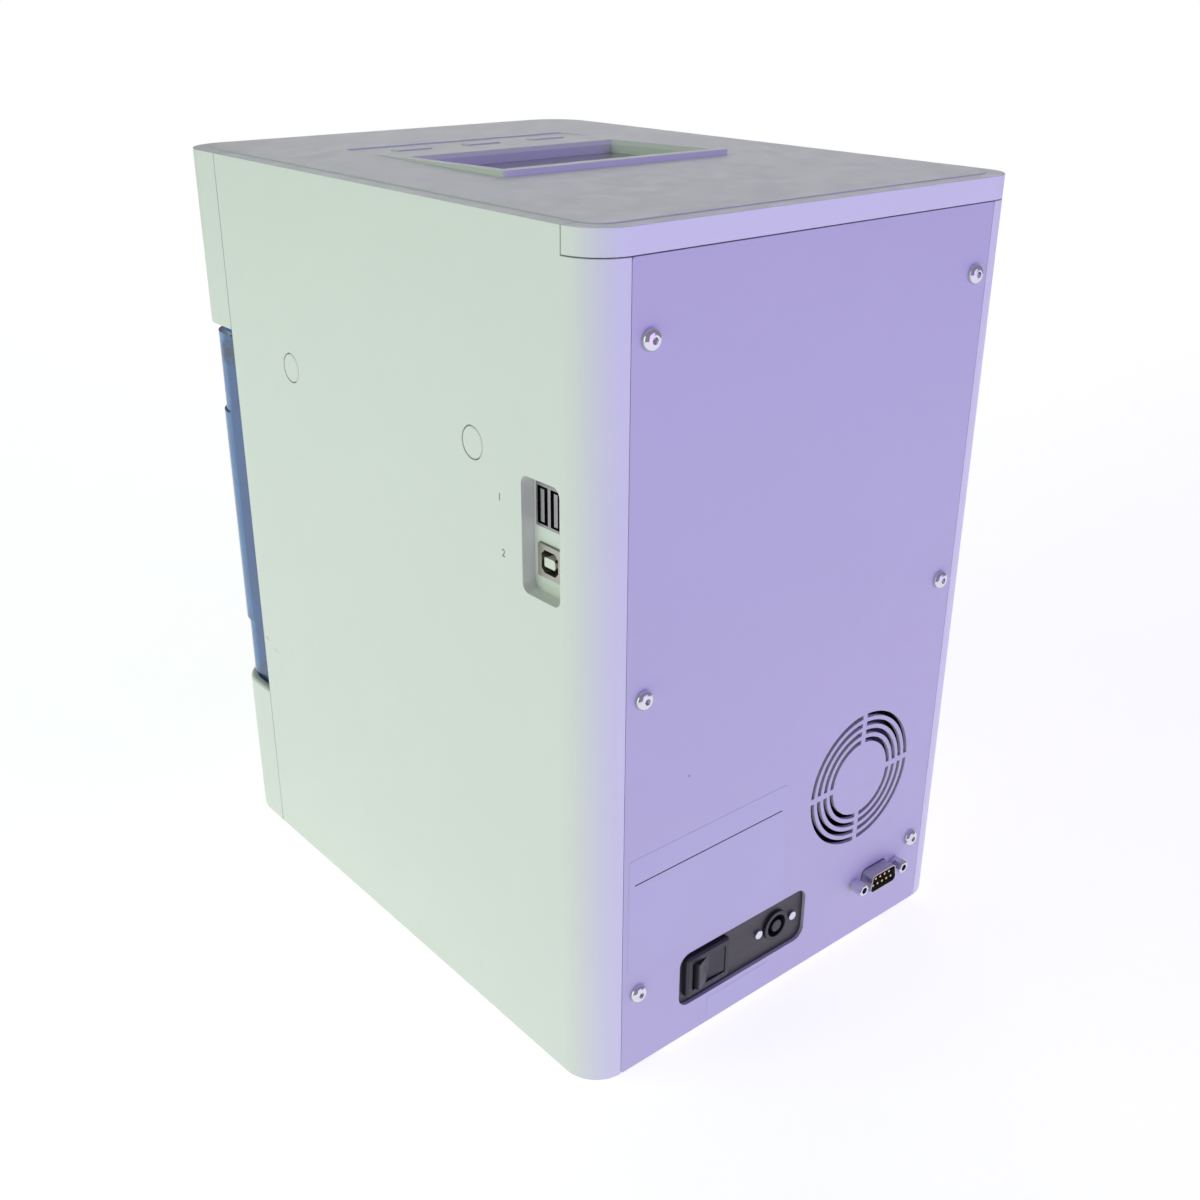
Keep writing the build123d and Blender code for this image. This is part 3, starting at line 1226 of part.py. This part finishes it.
# Main board on its stand-offs behind the chamber's rear wall
main_board_y = y_rear - main_board_from_rear
board_low = z_bottom + 128.0
board_high = z_bottom + 248.0
board_half = 62.0
with BuildPart() as main_board:
    block(-board_half, board_half, main_board_y, main_board_y + board_thickness, board_low, board_high)
    fillet(main_board.edges().filter_by(Axis.Y), board_corner)
    with BuildSketch(Plane.XZ.offset(-main_board_y)):
        with Locations((0, (board_low + board_high) / 2)):
            with GridLocations(2 * board_half - 12, board_high - board_low - 12, 2, 2):
                Circle(3.0)
    extrude(amount=main_board_y - back_wall_y - sheet)
    for x, z, wide, high, deep in ((-20.0, 150.0, 24.0, 24.0, 3.0), (25.0, 160.0, 16.0, 16.0, 2.0),
                                   (-35.0, 215.0, 40.0, 12.0, 9.0), (25.0, 220.0, 40.0, 12.0, 9.0)):
        block(x - wide / 2, x + wide / 2, main_board_y + board_thickness,
              main_board_y + board_thickness + deep, z_bottom + z - high / 2, z_bottom + z + high / 2)
save(main_board, "main_board")
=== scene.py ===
# %% [markdown]
# # A bench-top purification instrument
# The object is a desk instrument, about as large as a shoe box on end. Its covers are
# off-white satin paint, its door is a clear blue moulding, and its rear panel carries
# a grille, a power inlet and a serial connector. The solids come from the packed
# frame. This notebook gives them their finishes and adds what is too fine for a solid.

# %% The frame
from math import cos, radians, sin

import bmesh
import bpy
from mathutils import Euler, Matrix, Vector


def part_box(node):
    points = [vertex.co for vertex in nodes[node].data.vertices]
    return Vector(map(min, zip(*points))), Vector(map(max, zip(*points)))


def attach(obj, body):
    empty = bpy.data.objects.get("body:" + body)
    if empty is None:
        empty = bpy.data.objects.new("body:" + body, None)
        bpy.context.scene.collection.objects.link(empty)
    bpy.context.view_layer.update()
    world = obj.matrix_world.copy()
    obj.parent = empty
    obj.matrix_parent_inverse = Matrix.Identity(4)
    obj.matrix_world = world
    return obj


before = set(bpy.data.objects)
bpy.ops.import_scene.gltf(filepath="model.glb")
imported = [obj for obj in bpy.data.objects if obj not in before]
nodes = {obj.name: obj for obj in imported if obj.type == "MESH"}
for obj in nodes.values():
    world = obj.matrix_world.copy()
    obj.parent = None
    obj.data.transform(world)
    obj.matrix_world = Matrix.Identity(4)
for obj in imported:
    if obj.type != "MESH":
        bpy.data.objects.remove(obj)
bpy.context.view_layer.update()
mm = 0.001

# %% [markdown]
# ## Places read from the frame
# Every added piece sits on something, so its place is read from the box of the solid
# that carries it. Typed numbers are only the small offsets that a ruler would give.

# %% Places
body_low, body_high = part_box("right_side_cover")
rear_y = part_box("rear_panel")[1].y
right_x = body_high.x
floor_z = body_low.z
print("rear face at", round(rear_y, 5), "port side at", round(right_x, 5))


def on_rear(across, up):
    """A point on the rear face, in millimetres across from the middle and up from the body's foot."""
    return Vector((across * mm, rear_y, floor_z + up * mm))


def on_port_side(from_rear, up):
    """A point on the port side, in millimetres forward of the rear face and up from the body's foot."""
    return Vector((right_x, rear_y - from_rear * mm, floor_z + up * mm))


# %% [markdown]
# ## Camera
# The photograph looks down on the rear corner of the port side. Its clearest corners
# were matched to the solids, which gives the place and lens of the camera. The long
# side of the picture is 1200 pixels, and the sensor is the usual 36 mm.

# %% Camera
focal_pixels = 1380.6
picture_pixels = 1200
sensor_mm = 36.0
camera_data = bpy.data.cameras.new("photo_view")
camera_data.sensor_width = sensor_mm
camera_data.lens = sensor_mm * focal_pixels / picture_pixels
camera_data.clip_start = 0.01
camera = bpy.data.objects.new("photo_view", camera_data)
camera.location = (0.33842, 0.41449, 0.36513)
camera.rotation_euler = Euler((radians(65.666), radians(-0.271), radians(139.891)))
bpy.context.scene.collection.objects.link(camera)
bpy.context.scene.camera = camera
print("lens", round(camera_data.lens, 2), "mm")

# %% [markdown]
# ## Light and floor
# The photograph has a white ground and two broad soft lights: a faintly green white one
# on the port side and a lavender one on the rear. Large area lights give the same soft
# shading, and a third one, nearly neutral, lights the front. The world shows white to
# the camera and lights the object more dimly. The floor glows a little, as a lit table
# does, so that it stays white.

# %% Light and floor
scene = bpy.context.scene
scene.view_settings.view_transform = "Standard"
middle = Vector((0, 0, 0.15))


def soft_light(name, place, size, power, colour):
    """A large square lamp that faces the middle of the object."""
    lamp = bpy.data.lights.new(name, "AREA")
    lamp.size = size
    lamp.energy = power
    lamp.color = colour
    lamp_object = bpy.data.objects.new(name, lamp)
    lamp_object.location = place
    lamp_object.rotation_euler = (middle - Vector(place)).to_track_quat("-Z", "Y").to_euler()
    scene.collection.objects.link(lamp_object)


soft_light("port_side_light", (1.9, -0.5, 0.7), 1.5, 14.0, (0.67, 1.0, 0.60))
soft_light("rear_light", (-0.5, 2.0, 0.5), 1.4, 21.0, (0.30, 0.17, 1.0))
soft_light("front_light", (-1.4, -1.5, 0.6), 1.6, 7.0, (1.0, 0.98, 0.96))

world = bpy.data.worlds.new("studio")
scene.world = world
world.use_nodes = True
world_nodes = world.node_tree.nodes
world_links = world.node_tree.links
seen = world_nodes["Background"]
seen.inputs["Color"].default_value = (1.0, 1.0, 1.0, 1)
seen.inputs["Strength"].default_value = 1.0
around = world_nodes.new("ShaderNodeBackground")
around.inputs["Color"].default_value = (0.92, 0.92, 1.0, 1)
around.inputs["Strength"].default_value = 0.30
path = world_nodes.new("ShaderNodeLightPath")
choose = world_nodes.new("ShaderNodeMixShader")
world_links.new(path.outputs["Is Camera Ray"], choose.inputs["Fac"])
world_links.new(around.outputs["Background"], choose.inputs[1])
world_links.new(seen.outputs["Background"], choose.inputs[2])
world_links.new(choose.outputs["Shader"], world_nodes["World Output"].inputs["Surface"])

floor_mesh = bpy.data.meshes.new("floor")
reach = 1.6
floor_mesh.from_pydata([(-reach, -reach, 0), (reach, -reach, 0), (reach, reach, 0), (-reach, reach, 0)],
                       [], [(0, 1, 2, 3)])
floor = bpy.data.objects.new("floor", floor_mesh)
scene.collection.objects.link(floor)

# %% [markdown]
# ## How the finishes are made
# A finish is never one flat colour. Each one below starts from the same recipe: a slow
# noise that moves the colour a little, a finer one that moves the gloss, and a very fine
# one that gives the surface its grain. All of them read Object coordinates, in metres,
# so a grain of 0.3 mm is a noise scale of about 3000.

# %% Recipe for a finish
tone_span = (0.35, 0.65)
gloss_span = (0.3, 0.7)
drift_size = 40 * mm
smear_size = 6 * mm


def new_finish(name):
    """A fresh material with its nodes, links and main shader."""
    material = bpy.data.materials.new(name)
    material.use_nodes = True
    tree = material.node_tree
    return material, tree.nodes, tree.links, tree.nodes["Principled BSDF"]


def grain_size(size):
    """The noise scale that gives features of a size in metres."""
    return 1.0 / size


def object_noise(tree_nodes, tree_links, size, detail=2.0, stretch=(1, 1, 1)):
    """A noise in Object coordinates with features of about the given size."""
    place = tree_nodes.new("ShaderNodeTexCoord")
    turn = tree_nodes.new("ShaderNodeMapping")
    turn.inputs["Scale"].default_value = stretch
    noise = tree_nodes.new("ShaderNodeTexNoise")
    noise.inputs["Scale"].default_value = grain_size(size)
    noise.inputs["Detail"].default_value = detail
    tree_links.new(place.outputs["Object"], turn.inputs["Vector"])
    tree_links.new(turn.outputs["Vector"], noise.inputs["Vector"])
    return noise


def vary_colour(tree_nodes, tree_links, noise, dark, light):
    """A colour that moves between two close tones with the noise."""
    ramp = tree_nodes.new("ShaderNodeValToRGB")
    ramp.color_ramp.elements[0].position = tone_span[0]
    ramp.color_ramp.elements[1].position = tone_span[1]
    ramp.color_ramp.elements[0].color = (*dark, 1)
    ramp.color_ramp.elements[1].color = (*light, 1)
    tree_links.new(noise.outputs["Fac"], ramp.inputs["Fac"])
    return ramp.outputs["Color"]


def vary_value(tree_nodes, tree_links, noise, low, high):
    """A number that moves between two values with the noise."""
    span = tree_nodes.new("ShaderNodeMapRange")
    span.inputs["From Min"].default_value = gloss_span[0]
    span.inputs["From Max"].default_value = gloss_span[1]
    span.inputs["To Min"].default_value = low
    span.inputs["To Max"].default_value = high
    tree_links.new(noise.outputs["Fac"], span.inputs["Value"])
    return span.outputs["Result"]


def add_grain(tree_nodes, tree_links, shader, noise, height, strength, edge=0.0):
    """Raise the surface by a fine noise, over edges softened by the given radius."""
    bump = tree_nodes.new("ShaderNodeBump")
    bump.inputs["Strength"].default_value = strength
    bump.inputs["Distance"].default_value = height
    tree_links.new(noise.outputs["Fac"], bump.inputs["Height"])
    if edge > 0:
        soft_edge = tree_nodes.new("ShaderNodeBevel")
        soft_edge.samples = 4
        soft_edge.inputs["Radius"].default_value = edge
        tree_links.new(soft_edge.outputs["Normal"], bump.inputs["Normal"])
    tree_links.new(bump.outputs["Normal"], shader.inputs["Normal"])


def shade(colour, factor):
    """The same tone, lighter or darker."""
    return tuple(min(1.0, channel * factor) for channel in colour)


def plain_finish(name, colour, gloss, metal=0.0, grain=0.3 * mm, height=0.01 * mm, strength=0.3,
                 edge=0.0, drift=0.04, stretch=(1, 1, 1), coat=0.0):
    """A finish from the recipe: its gloss is a pair of roughness values."""
    material, tree_nodes, tree_links, shader = new_finish(name)
    slow = object_noise(tree_nodes, tree_links, drift_size, 2.0)
    fine = object_noise(tree_nodes, tree_links, grain, 2.0, stretch)
    tone = vary_colour(tree_nodes, tree_links, slow, shade(colour, 1 - drift), shade(colour, 1 + drift))
    tree_links.new(tone, shader.inputs["Base Color"])
    smear = object_noise(tree_nodes, tree_links, smear_size, 3.0, stretch)
    tree_links.new(vary_value(tree_nodes, tree_links, smear, *gloss), shader.inputs["Roughness"])
    shader.inputs["Metallic"].default_value = metal
    if coat > 0:
        shader.inputs["Coat Weight"].default_value = coat
    add_grain(tree_nodes, tree_links, shader, fine, height, strength, edge)
    return material


# %% [markdown]
# ## Floor
# The floor is a pale card. It is matt, with a slow drift in its white, and it gives off
# a part of its own light.

# %% Floor finish
floor_finish = plain_finish("pale_card", (0.80, 0.80, 0.80), (0.75, 0.9), drift=0.005)
floor_shader = floor_finish.node_tree.nodes["Principled BSDF"]
floor_shader.inputs["Specular IOR Level"].default_value = 0.1
floor_shader.inputs["Emission Color"].default_value = (1, 1, 1, 1)
floor_shader.inputs["Emission Strength"].default_value = 0.66
floor_mesh.materials.append(floor_finish)

# %% [markdown]
# ## Satin paint on the covers
# The plastic covers and the sheet-metal panel carry a fine satin paint. The panel's colour is
# darker and lavender. That is partly its own paint and partly painted light: the rear lamp's
# lavender and shade are put into the colour. Close up the paint has a faint orange peel, so
# the grain is small and low. A softened edge catches a thin bright line along every seam, as
# the real mouldings do. The port side has a yellow scuff near the front seam, made of two soft
# masks in the colour, and the panel has one dark speck.

# %% Satin paint


def spot_mask(tree_nodes, tree_links, centre, radii, softness):
    """One inside an ellipsoid round a point and zero outside it."""
    place = tree_nodes.new("ShaderNodeTexCoord")
    shift = tree_nodes.new("ShaderNodeVectorMath")
    shift.operation = "SUBTRACT"
    shift.inputs[1].default_value = centre
    squeeze = tree_nodes.new("ShaderNodeVectorMath")
    squeeze.operation = "DIVIDE"
    squeeze.inputs[1].default_value = radii
    length = tree_nodes.new("ShaderNodeVectorMath")
    length.operation = "LENGTH"
    fade = tree_nodes.new("ShaderNodeMapRange")
    fade.inputs["From Min"].default_value = 1.0
    fade.inputs["From Max"].default_value = 1.0 - softness
    tree_links.new(place.outputs["Object"], shift.inputs[0])
    tree_links.new(shift.outputs["Vector"], squeeze.inputs[0])
    tree_links.new(squeeze.outputs["Vector"], length.inputs[0])
    tree_links.new(length.outputs["Value"], fade.inputs["Value"])
    return fade.outputs["Result"]


def stain(material, centre, radii, colour, amount, softness=0.6):
    """Mix a stain of a colour into a finish, inside an ellipsoid."""
    tree = material.node_tree
    shader = tree.nodes["Principled BSDF"]
    before = shader.inputs["Base Color"].links[0].from_socket
    mask = spot_mask(tree.nodes, tree.links, centre, radii, softness)
    scale = tree.nodes.new("ShaderNodeMath")
    scale.operation = "MULTIPLY"
    scale.inputs[1].default_value = amount
    mix = tree.nodes.new("ShaderNodeMix")
    mix.data_type = "RGBA"
    mix.inputs["B"].default_value = (*colour, 1)
    tree.links.new(mask, scale.inputs[0])
    tree.links.new(scale.outputs["Value"], mix.inputs["Factor"])
    tree.links.new(before, mix.inputs["A"])
    tree.links.new(mix.outputs["Result"], shader.inputs["Base Color"])


paint_colour = (0.76, 0.765, 0.755)
# Painted light: the panel's lavender tint and darker tone are partly its own paint and partly the rear
# lamp's light and shade painted in.
panel_tone_and_painted_lavender = (0.57, 0.545, 0.63)
satin_gloss = (0.38, 0.5)
cover_paint = plain_finish("cover_satin_paint", paint_colour, satin_gloss, grain=0.35 * mm,
                           height=0.012 * mm, strength=0.35, edge=0.35 * mm, drift=0.005)
panel_paint_and_painted_lavender = plain_finish("panel_satin_paint_and_painted_lavender", panel_tone_and_painted_lavender, satin_gloss, grain=0.35 * mm,
                           height=0.012 * mm, strength=0.35, edge=0.2 * mm, drift=0.005)
stain(cover_paint, on_port_side(222.5, 96.2), (3 * mm, 2.6 * mm, 1.1 * mm), (0.55, 0.50, 0.28), 0.55)
stain(cover_paint, on_port_side(215.0, 93.0), (3 * mm, 4.5 * mm, 0.8 * mm), (0.60, 0.57, 0.40), 0.4)
stain(panel_paint_and_painted_lavender, on_rear(54.4, 114.1), (0.45 * mm, 2 * mm, 0.45 * mm), (0.05, 0.04, 0.08), 0.9)

# %% [markdown]
# ## Metals
# Turned screws and jackscrews are plated and bright. Sheet parts are satin with a drawn
# grain, which is a noise stretched along one axis. The power plate is darker and brushed.

# %% Metals
bright_plate = plain_finish("bright_plating", (0.72, 0.72, 0.74), (0.12, 0.22), metal=1.0,
                            grain=0.8 * mm, strength=0.1, edge=0.15 * mm)
shell_plate = plain_finish("tin_plating", (0.52, 0.51, 0.52), (0.22, 0.36), metal=1.0,
                           grain=0.5 * mm, strength=0.15, edge=0.15 * mm)
brushed_plate = plain_finish("brushed_grey_plate", (0.085, 0.08, 0.082), (0.34, 0.5), metal=0.85,
                             grain=0.25 * mm, strength=0.35, stretch=(0.05, 1, 1), edge=0.1 * mm)
sheet_steel = plain_finish("drawn_steel", (0.55, 0.56, 0.58), (0.35, 0.5), metal=1.0,
                           grain=0.3 * mm, strength=0.3, stretch=(1, 1, 0.06), edge=0.2 * mm)
ground_steel = plain_finish("ground_steel", (0.66, 0.67, 0.69), (0.14, 0.26), metal=1.0,
                            grain=0.2 * mm, strength=0.2, stretch=(1, 1, 0.2))
milled_aluminium = plain_finish("milled_aluminium", (0.70, 0.71, 0.73), (0.3, 0.45), metal=1.0,
                                grain=0.4 * mm, strength=0.35, stretch=(0.2, 1, 1), edge=0.2 * mm)
magnet_plate = plain_finish("nickel_plating", (0.62, 0.60, 0.57), (0.2, 0.3), metal=1.0, grain=1 * mm)
gold_pin = plain_finish("gold_flash", (0.78, 0.62, 0.34), (0.2, 0.32), metal=1.0, grain=0.5 * mm)

# %% [markdown]
# ## Black plastic, rubber and boards
# The switch, the fan and the sockets are black moulded plastic with a fine spark-eroded
# grain. The motors are black lacquered steel. Boards are green lacquer over copper.

# %% Dark plastics
black_plastic = plain_finish("black_moulding", (0.022, 0.022, 0.026), (0.32, 0.45), grain=0.25 * mm,
                             height=0.02 * mm, strength=0.4, edge=0.2 * mm, drift=0.1)
motor_lacquer = plain_finish("motor_lacquer", (0.03, 0.03, 0.032), (0.3, 0.42), grain=0.6 * mm,
                             edge=0.3 * mm, drift=0.1)
rubber_finish = plain_finish("foot_rubber", (0.035, 0.035, 0.035), (0.7, 0.85), grain=0.3 * mm,
                             height=0.03 * mm, strength=0.5, drift=0.15)
board_lacquer = plain_finish("board_lacquer", (0.02, 0.14, 0.06), (0.25, 0.4), grain=1.2 * mm,
                             height=0.02 * mm, drift=0.2, coat=0.3)

# %% [markdown]
# ## Clear blue door and screen glass
# The door is tinted clear plastic. Light passes through it, and its wall is a real wall
# in the solid, so transmission with the tint as its colour gives the deep blue where one
# looks along the wall. A shallow wave in the surface breaks up its reflections.

# %% Door and glass
wave_size = 18 * mm
wave_height = 0.05 * mm
clear_smear_size = 5 * mm
clear_drift = 0.07


def clear_finish(name, colour, gloss, passing, index):
    """Tinted clear plastic or glass, with a faint wave in its surface."""
    material, tree_nodes, tree_links, shader = new_finish(name)
    wave = object_noise(tree_nodes, tree_links, wave_size, 1.0)
    smear = object_noise(tree_nodes, tree_links, clear_smear_size, 3.0)
    dark = shade(colour, 1 - clear_drift)
    light = shade(colour, 1 + clear_drift)
    tone = vary_colour(tree_nodes, tree_links, wave, dark, light)
    tree_links.new(tone, shader.inputs["Base Color"])
    tree_links.new(vary_value(tree_nodes, tree_links, smear, *gloss), shader.inputs["Roughness"])
    shader.inputs["Transmission Weight"].default_value = passing
    shader.inputs["IOR"].default_value = index
    add_grain(tree_nodes, tree_links, shader, wave, wave_height, 0.25)
    return material


door_blue = clear_finish("clear_blue_moulding", (0.06, 0.22, 0.52), (0.04, 0.1), 0.8, 1.49)
window_glass = clear_finish("screen_window", (0.62, 0.64, 0.66), (0.05, 0.12), 0.6, 1.5)
display_finish = plain_finish("display_cell", (0.30, 0.32, 0.31), (0.3, 0.4), grain=0.2 * mm, drift=0.03)

# %% [markdown]
# ## Sockets of two materials
# A data socket is a metal shell round a plastic tongue, but it is one solid here. The
# double socket is metal at its mouth and black plastic deeper in. The square one is
# white plastic inside an ellipsoid round the middle of its mouth. Both boundaries come
# from the socket's own box, so they move with it.

# %% Socket finish
mouth_depth = 0.6 * mm
tongue_radii = (12 * mm, 3.0 * mm, 2.2 * mm)


def share_at_mouth(tree, box):
    """One near the mouth of a socket and zero deeper in."""
    place = tree.nodes.new("ShaderNodeTexCoord")
    apart = tree.nodes.new("ShaderNodeSeparateXYZ")
    tree.links.new(place.outputs["Object"], apart.inputs["Vector"])
    at_mouth = tree.nodes.new("ShaderNodeMath")
    at_mouth.operation = "GREATER_THAN"
    at_mouth.inputs[1].default_value = box[1].x - mouth_depth
    tree.links.new(apart.outputs["X"], at_mouth.inputs[0])
    return at_mouth.outputs["Value"]


def share_round_tongue(tree, box):
    """Zero round the tongue of a socket and one outside it."""
    low, high = box
    centre = Vector((high.x, (low.y + high.y) / 2, (low.z + high.z) / 2))
    inner = spot_mask(tree.nodes, tree.links, centre, tongue_radii, 0.02)
    outside = tree.nodes.new("ShaderNodeMath")
    outside.operation = "SUBTRACT"
    outside.inputs[0].default_value = 1.0
    tree.links.new(inner, outside.inputs[1])
    return outside.outputs["Value"]


def socket_finish(name, shell_colour, inner_colour, box, metal_share):
    """Metal on the shell of a socket and plastic inside it."""
    material = plain_finish(name, shell_colour, (0.25, 0.4), grain=0.5 * mm, strength=0.15)
    tree = material.node_tree
    shader = tree.nodes["Principled BSDF"]
    shell_share = metal_share(tree, box)
    before = shader.inputs["Base Color"].links[0].from_socket
    mix = tree.nodes.new("ShaderNodeMix")
    mix.data_type = "RGBA"
    mix.inputs["A"].default_value = (*inner_colour, 1)
    tree.links.new(shell_share, mix.inputs["Factor"])
    tree.links.new(before, mix.inputs["B"])
    tree.links.new(mix.outputs["Result"], shader.inputs["Base Color"])
    tree.links.new(shell_share, shader.inputs["Metallic"])
    return material


host_socket = socket_finish("double_socket", (0.34, 0.32, 0.34), (0.012, 0.012, 0.015),
                            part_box("host_port_stack"), share_at_mouth)
device_socket = socket_finish("square_socket", (0.42, 0.40, 0.36), (0.80, 0.80, 0.74),
                              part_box("device_port"), share_round_tongue)

# %% [markdown]
# ## Which solid has which finish
# A solid keeps its own mesh. Only the material in its slots changes.

# %% Finishes on the solids
finishes = {
    cover_paint: ("left_side_cover", "right_side_cover", "top_cover", "front_fascia", "side_plugs",
                  "key_left", "key_centre", "key_right", "port_plate"),
    panel_paint_and_painted_lavender: ("rear_panel",),
    bright_plate: ("rear_panel_screws", "side_cover_screws", "socket_screws", "jackscrews"),
    shell_plate: ("serial_shell",),
    gold_pin: ("serial_pins",),
    brushed_plate: ("power_plate",),
    sheet_steel: ("base_chassis", "rear_post_left", "rear_post_right", "side_frame_left",
                  "side_frame_right", "chamber_deck", "chamber_back_wall"),
    ground_steel: ("tray_rails", "tray_screw", "guide_shafts", "lift_screw", "magnet_screw",
                   "magnet_guides", "magnet_rods", "door_hinge_pins"),
    milled_aluminium: ("lift_frame", "sleeve_carriage", "magnet_carriage", "plate_tray", "heater_block"),
    magnet_plate: ("catch_magnets",),
    black_plastic: ("serial_insert", "fan_frame", "fan_rotor", "switch_housing", "rocker", "power_socket"),
    motor_lacquer: ("tray_motor", "lift_motor", "magnet_motor"),
    rubber_finish: ("rubber_feet",),
    board_lacquer: ("port_board", "main_board", "key_board"),
    door_blue: ("door",),
    window_glass: ("screen_glass",),
    display_finish: ("display_module",),
    host_socket: ("host_port_stack",),
    device_socket: ("device_port",),
}
dressed = set()
for finish, names in finishes.items():
    for name in names:
        mesh = nodes[name].data
        mesh.materials.clear()
        mesh.materials.append(finish)
        dressed.add(name)
print("solids without a finish:", sorted(set(nodes) - dressed))

# %% [markdown]
# ## Building added pieces
# Labels and figures are thin prisms: an outline is filled, given a thickness and set on
# its face. The helper takes the outline in its own plane and a matrix that puts that plane
# on the object, so the finished object itself stays at the origin.

# %% Helpers for added pieces


def keep_piece(name, mesh, material, body):
    """Link a finished mesh, give it its material and let it ride on its body."""
    mesh.materials.clear()
    mesh.materials.append(material)
    piece = bpy.data.objects.new(name, mesh)
    scene.collection.objects.link(piece)
    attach(piece, body)


def plane_matrix(origin, right, up):
    """The matrix of a plane from its origin and its two directions."""
    right = Vector(right).normalized()
    up = Vector(up).normalized()
    out = right.cross(up)
    matrix = Matrix((right, up, out)).transposed().to_4x4()
    matrix.translation = origin
    return matrix


rear_directions = ((-1, 0, 0), (0, 0, 1))
port_side_directions = ((0, 1, 0), (0, 0, 1))


def rounded_outline(width, height, radius, steps=8):
    """The points of a rounded rectangle round the origin, anticlockwise."""
    points = []
    corners = ((1, 1, 0), (-1, 1, 90), (-1, -1, 180), (1, -1, 270))
    for sx, sy, start in corners:
        centre = Vector((sx * (width / 2 - radius), sy * (height / 2 - radius)))
        for step in range(steps + 1):
            angle = radians(start + 90 * step / steps)
            points.append(centre + radius * Vector((cos(angle), sin(angle))))
    return points


def prism(name, outline, matrix, thickness, lift=0.0):
    """A thin plate with the given outline, standing out of its plane by its thickness."""
    work = bmesh.new()
    low = [work.verts.new((p[0], p[1], lift)) for p in outline]
    high = [work.verts.new((p[0], p[1], lift + thickness)) for p in outline]
    count = len(outline)
    for i in range(count):
        j = (i + 1) % count
        work.faces.new((low[i], low[j], high[j], high[i]))
    work.faces.new(list(reversed(low)))
    work.faces.new(high)
    bmesh.ops.recalc_face_normals(work, faces=work.faces)
    mesh = bpy.data.meshes.new(name)
    work.to_mesh(mesh)
    work.free()
    mesh.transform(matrix)
    return mesh


# %% [markdown]
# ## Blank labels on the rear panel
# The instrument has two stickers on its rear. Here they are bare: thin film with rounded
# corners, slightly smoother and cooler than the paint. That cool lavender tone is partly
# painted light, the rear lamp's lavender put into the film's colour. A ruled line crosses
# the larger one, as on a form that nobody filled in.

# %% Labels
# Painted light: the film's lavender tone partly stands for the rear lamp's lavender light.
film_with_painted_lavender = plain_finish("label_film_with_painted_lavender", (0.56, 0.55, 0.645), (0.28, 0.4), grain=1.5 * mm, strength=0.12,
                    drift=0.01)
ink = plain_finish("black_ink", (0.02, 0.02, 0.03), (0.45, 0.6), grain=0.3 * mm, drift=0.1)
film_thickness = 0.08 * mm
rating_size = (78.5 * mm, 47.5 * mm)
rating_middle = on_rear(41.8, 66.6)
rating_matrix = plane_matrix(rating_middle, *rear_directions)
keep_piece("rating_label", prism("rating_label", rounded_outline(*rating_size, 2 * mm), rating_matrix,
                                 film_thickness), film_with_painted_lavender, "housing")
rule_size = (73 * mm, 0.5 * mm)
rule_rise = 13.2 * mm
ink_thickness = 0.02 * mm
rule_matrix = plane_matrix(rating_middle + Vector((0, 0, rule_rise)), *rear_directions)
rule_mesh = prism("rating_label_rule", rounded_outline(*rule_size, 0.2 * mm, 2), rule_matrix,
                  ink_thickness, film_thickness)
keep_piece("rating_label_rule", rule_mesh, ink, "housing")
small_size = (32.7 * mm, 9.8 * mm)
small_matrix = plane_matrix(on_rear(24.3, 6.6), *rear_directions)
keep_piece("number_label", prism("number_label", rounded_outline(*small_size, 0.8 * mm), small_matrix,
                                 film_thickness), film_with_painted_lavender, "housing")

# %% [markdown]
# ## Figures beside the data ports
# The two ports are marked 1 and 2 in grey print. Text becomes a mesh first and is then
# laid on the side, because an object that still is text can't be put in place for good.

# %% Port figures
print_grey = plain_finish("grey_print", (0.12, 0.14, 0.13), (0.5, 0.6), grain=0.3 * mm, drift=0.08)
figure_height = 2.7 * mm
print_thickness = 0.03 * mm
cap_share = 0.7
port_figures = (("1", 45.9, 211.9), ("2", 44.5, 193.1))


def figure(name, words, height, matrix, thickness):
    """A printed figure as a thin mesh, centred in its plane."""
    curve = bpy.data.curves.new(name, "FONT")
    curve.body = words
    curve.align_x = "CENTER"
    curve.align_y = "CENTER"
    curve.size = height / cap_share
    curve.extrude = thickness / 2
    text_object = bpy.data.objects.new(name + "_text", curve)
    scene.collection.objects.link(text_object)
    bpy.context.view_layer.update()
    seen_text = text_object.evaluated_get(bpy.context.evaluated_depsgraph_get())
    mesh = bpy.data.meshes.new_from_object(seen_text)
    bpy.data.objects.remove(text_object)
    mesh.transform(Matrix.Translation((0, 0, thickness / 2)))
    mesh.transform(matrix)
    return mesh


for words, from_rear, up in port_figures:
    name = "port_figure_" + words
    matrix = plane_matrix(on_port_side(from_rear, up), *port_side_directions)
    mesh = figure(name, words, figure_height, matrix, print_thickness)
    keep_piece(name, mesh, print_grey, "housing")
